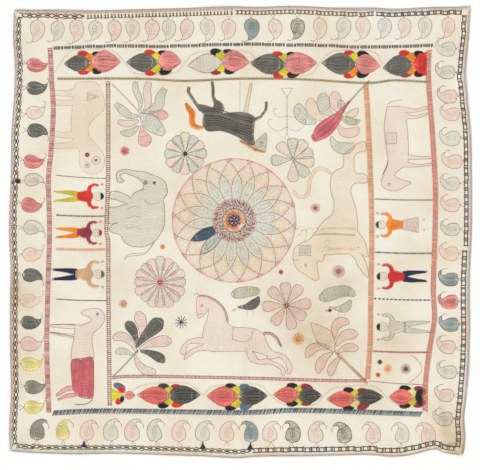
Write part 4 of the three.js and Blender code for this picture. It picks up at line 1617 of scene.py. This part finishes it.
# The deer in the upper left panel, head down, legs to the left
creature((
    ((-306, 277), (-291, 280), (-276, 280), (-265, 276), (-259, 264), (-254, 251), (-253, 235),
     (-256, 225), (-269, 214), (-280, 201), (-283, 188), (-280, 177), (-269, 164), (-258, 151),
     (-253, 138), (-254, 123), (-261, 112), (-276, 108), (-289, 112), (-298, 123), (-300, 136),
     (-299, 149), (-304, 157), (-310, 164), (-313, 179), (-315, 201), (-314, 220), (-312, 231),
     (-311, 250), (-309, 264)),
    ((-306, 268), (-322, 263), (-345, 264), (-345, 255), (-322, 253), (-306, 254)),
    ((-306, 246), (-322, 245), (-345, 246), (-345, 237), (-322, 236), (-306, 237)),
    ((-310, 187), (-328, 186), (-346, 187), (-346, 178), (-328, 176), (-310, 175)),
    ((-306, 168), (-328, 166), (-347, 165), (-347, 156), (-328, 156), (-306, 157)),
), "peach", "peach", "tint", 88, 1.7)
for corners in (((-285, 260), (-262, 252), (-285, 244), (-285, 260)),
                ((-282, 256), (-268, 252), (-282, 248), (-282, 256))):
    running(np.array(corners, float), "mauve", 1.8, 0.8, 1.6)
for x, y, radius, dye in ((-285, 125, 5.6, "haze"), (-269, 134, 8, "mauve")):
    ring(x, y, radius, dye, 1.5)
    strokes((x, y), 0.6, radius * 0.5, 7, 20, dye, 1.7)
strokes((-285, 144), 0.5, 4.6, 12, 20, "crimson", 2.2)

# The goat in the lower left panel: a pale front and a red cloth over its hindquarters
creature((
    ((-296, -148), (-285, -143), (-269, -141), (-258, -145), (-253, -154), (-254, -167),
     (-261, -176), (-272, -186), (-276, -193), (-275, -208), (-273, -223), (-274, -234),
     (-294, -238), (-314, -236), (-314, -223), (-313, -210), (-310, -200), (-308, -182),
     (-306, -173), (-295, -172), (-284, -168), (-276, -162), (-285, -156), (-295, -152)),
    ((-307, -171), (-330, -171), (-352, -172), (-352, -176), (-330, -178), (-307, -179)),
    ((-308, -190), (-330, -188), (-352, -185), (-352, -188), (-330, -193), (-308, -197)),
), "pink", "mauve", "tint", 88, 1.5)
strokes((-266, -152), 0.4, 3, 8, 0, "haze", 2)
drawn(((-307, -172), (-330, -171), (-352, -172)), "crimson", 1.9)
drawn(((-309, -194), (-330, -190), (-352, -186)), "crimson", 1.9)
creature((((-314, -238), (-295, -235), (-275, -233), (-273, -264), (-273, -286), (-274, -305),
           (-278, -309), (-295, -307), (-306, -301), (-312, -286), (-314, -267)),), "claret",
         "crimson", "close", 86, 1.9)
for x in (-306, -298, -289, -281):
    drawn(((x, -241), (x + 2, -262), (x - 1, -282), (x + 1, -300)), "salmon", 1.7)
creature((
    ((-342, -304, 1.6), (-332, -296, 3.4), (-322, -291, 4), (-310, -289, 4)),
    ((-340, -311, 1.4), (-328, -306, 2.6), (-318, -303, 3), (-306, -302, 3)),
), "claret", "crimson", "medium", 20, 1.6)
drawn(((-275, -311), (-284, -318), (-295, -320), (-308, -320)), "grey", 2.4)

# The saddled horse in the upper right panel, head down, legs to the right
creature((
    ((272, 233), (282, 234), (297, 234), (304, 230), (308, 220), (309, 205), (311, 181), (312, 162),
     (312, 138), (311, 131), (304, 123), (295, 116), (286, 106), (298, 98), (310, 95), (317, 92),
     (310, 88), (300, 82), (289, 77), (276, 78), (267, 82), (262, 90), (262, 97), (265, 106),
     (272, 121), (274, 132), (272, 149), (269, 171), (267, 190), (268, 209), (271, 226)),
    ((304, 232), (325, 229), (346, 234), (346, 229), (323, 223), (306, 224)),
    ((306, 219), (325, 217), (346, 222), (346, 218), (328, 212), (306, 212)),
    ((308, 144), (330, 141), (355, 140), (355, 137), (334, 136), (308, 136)),
    ((304, 131), (332, 126), (354, 129), (354, 125), (334, 122), (302, 122)),
), "pink", "mauve", "tint", 88, 1.5)
drawn(((274, 132), (270, 120), (264, 107)), "crimson", 2)
running(np.array(((270, 185), (290, 185), (290, 165), (271, 164), (270, 185)), float), "smoke",
        2.4, 0.5, 1.4)
for k in range(5):
    running(np.array(((273, 182 - 4 * k), (288, 182 - 4 * k)), float), "mauve", 2.4, 0.8, 1.1)
ring(276, 89, 2.8, "smoke", 1.4)
drawn(((272, 237), (282, 243), (300, 246)), "rose")

sew("animal_threads", thread)


# The figures in the side panels: small folk figures that lie with their heads to the right on
# the left side, and to the left on the right side. Each holds up two sprigs.
def folk_figure(x, y, heading, size, coat, legs, hair, filling="raised", skirt=False):
    """A plain figure: a coat, two legs or a skirt, raised arms, and a round head with two
    eyes, a mouth and hair. It is drawn lying along its heading, feet first."""
    along, across = (way * size for way in axes(heading))

    def lay(rows):
        """Rows of height above the hips, distance to the left and half width, on the quilt."""
        rows = np.array(rows, float)
        middle = np.array((x, y)) + rows[:, :1] * along + rows[:, 1:2] * across
        return np.column_stack([middle, rows[:, 2:3] * size])

    leg_rows = [((-44, side * 9, 1.8), (-26, side * 8, 3.2), (-10, side * 6.5, 5), (2, side * 4, 6))
                for side in (1, -1)]
    if skirt:
        leg_rows = [((-34, 0, 16), (-20, 0, 13), (-6, 0, 10), (2, 0, 7))]
    creature([lay(rows) for rows in leg_rows], legs, legs, "pale" if skirt else filling,
             heading, 1.2)
    arms = [((24, side * 8, 4.4), (26, side * 18, 3.6), (34, side * 23, 3), (43, side * 22, 2.2))
            for side in (1, -1)]
    trunk = ((-1, 0, 8), (8, 0, 9.5), (20, 0, 12), (28, 0, 10), (32, 0, 4))
    creature([lay(rows) for rows in (trunk, *arms)], coat, coat, filling, heading + 90, 1.3)
    creature([lay(((34, 0, 3), (37, 0, 7), (43, 0, 8.4), (49, 0, 7), (52, 0, 2)))], "peach",
             "grey", "open", heading, 1.0)
    creature([lay(((48, 0, 7), (51, 0, 6.4), (54, 0, 3)))], hair, hair, "raised", heading + 90)
    for side in (1, -1):
        eye, foot = lay(((44, side * 3, 1), (45.6, side * 3, 1))), lay(
            ((-44, side * 9, 1), (-47, side * 12, 1)))
        running(eye[:, :2], "charcoal", 1.6, 0.1, 1.2)
        running(foot[:, :2], hair, 3, 0.2, 1.6)
        sprig = lay(((42, side * 22, 1), (47, side * 23, 1), (51, side * 24, 1)))[:, :2]
        running(sprig, "olive", 2.6, 0.3, 1.0)
        strokes(sprig[-1], 0.5, 3.2, 7, 0, ("coral", "rose"), 1.1)
    running(lay(((39, -2, 1), (38.6, 0, 1), (39, 2, 1)))[:, :2], "red", 2, 0.1, 1.1)


folk_figure(-304, 67, 0, 0.92, "red", "mustard", "navy")
folk_figure(-304, -1, 0, 0.86, "crimson", "orange", "crimson")
folk_figure(-306, -78, 0, 0.98, "peach", "navy", "grey")
folk_figure(300, 14, 180, 0.9, "orange", "rose", "charcoal", skirt=True)
folk_figure(304, -82, 180, 0.94, "red", "navy", "black")
folk_figure(306, -176, 180, 0.98, "grey", "grey", "black", filling="open")

sew("figure_threads", thread)


# The quilting: rows of white running stitch through all the layers, over the whole ground.
# They follow the motifs' outlines outwards at even distances. Real rows are about 2.5 mm
# apart; here it is twice that, as the rest would be too fine to show.
cell_mm = 3.0
map_half_mm = 450
map_side_cells = 301
echo_reach_cells = 22  # how far from a motif the rows still follow it
far_off = 1e6  # square millimetres, for cells with no stitch in them
stitch_spacing_mm = 4.4
stitch_grid_half_mm = 428
quilting_thread_mm = 0.8
clear_of_motifs_mm = 3
clear_of_hem_mm = 5


def echo_map():
    """Distance to the nearest coloured stitch on a grid of cells: the least of dx squared plus
    dy squared, found first along x and then along y."""
    ends = np.concatenate(sewn)
    touched = np.concatenate([ends[:, 0:2], halfway(ends), ends[:, 2:4]])
    cells = np.round((touched + map_half_mm) / cell_mm).astype(int)
    squared = np.full((map_side_cells, map_side_cells), far_off)
    squared[cells[:, 1], cells[:, 0]] = 0
    for axis in (0, 1):
        padded = np.pad(squared, echo_reach_cells, constant_values=far_off)
        best = squared
        for shift in range(-echo_reach_cells, echo_reach_cells + 1):
            moved = np.roll(padded, shift, axis)[echo_reach_cells:-echo_reach_cells,
                                                 echo_reach_cells:-echo_reach_cells]
            best = np.minimum(best, moved + (shift * cell_mm) ** 2)
        squared = best
    distance = np.sqrt(np.minimum(squared, (echo_reach_cells * cell_mm) ** 2))
    for axis in (0, 1):
        distance = (np.roll(distance, 1, axis) + 2 * distance + np.roll(distance, -1, axis)) / 4
    return distance


def look_up(table, x, y):
    """Values of a grid of cells at points, shared between the four cells round each."""
    across, up = (x + map_half_mm) / cell_mm, (y + map_half_mm) / cell_mm
    i, j = np.floor(across).astype(int), np.floor(up).astype(int)
    right, above = across - i, up - j
    low = table[j, i] * (1 - right) + table[j, i + 1] * right
    high = table[j + 1, i] * (1 - right) + table[j + 1, i + 1] * right
    return low * (1 - above) + high * above


echo = echo_map()
add_values(cloth, "echo", look_up(echo, cloth_points[:, 0], cloth_points[:, 1]))

grid = np.arange(-stitch_grid_half_mm, stitch_grid_half_mm + 1, stitch_spacing_mm)
x, y = (values.ravel() for values in np.meshgrid(grid, grid))
x, y = x + chance.uniform(-1.4, 1.4, x.size), y + chance.uniform(-1.4, 1.4, x.size)
slope_y, slope_x = np.gradient(echo)
away = look_up(echo, x, y)
uphill = unit(np.stack([look_up(slope_x, x, y), look_up(slope_y, x, y)], -1), 0.05)
onto_row = (np.round(away / quilting_row_mm) * quilting_row_mm - away)[:, None]
middles = np.stack([x, y], -1) + uphill * onto_row
level = left_of(uphill) * chance.uniform(1.1, 1.6, (x.size, 1))
half_height = sheet_height / 2
kept = (away > clear_of_motifs_mm) & (np.abs(y) < half_height - clear_of_hem_mm)
kept &= from_hem(x, y.clip(-half_height, half_height)) > clear_of_hem_mm
tints = dye_colours["white"] * chance.uniform(0.92, 1.06, (kept.sum(), 1))
lay_stitches((middles - level)[kept], (middles + level)[kept], quilting_thread_mm, tints)
sew("quilting_threads", thread, rings=1)


bpy.context.view_layer.update()
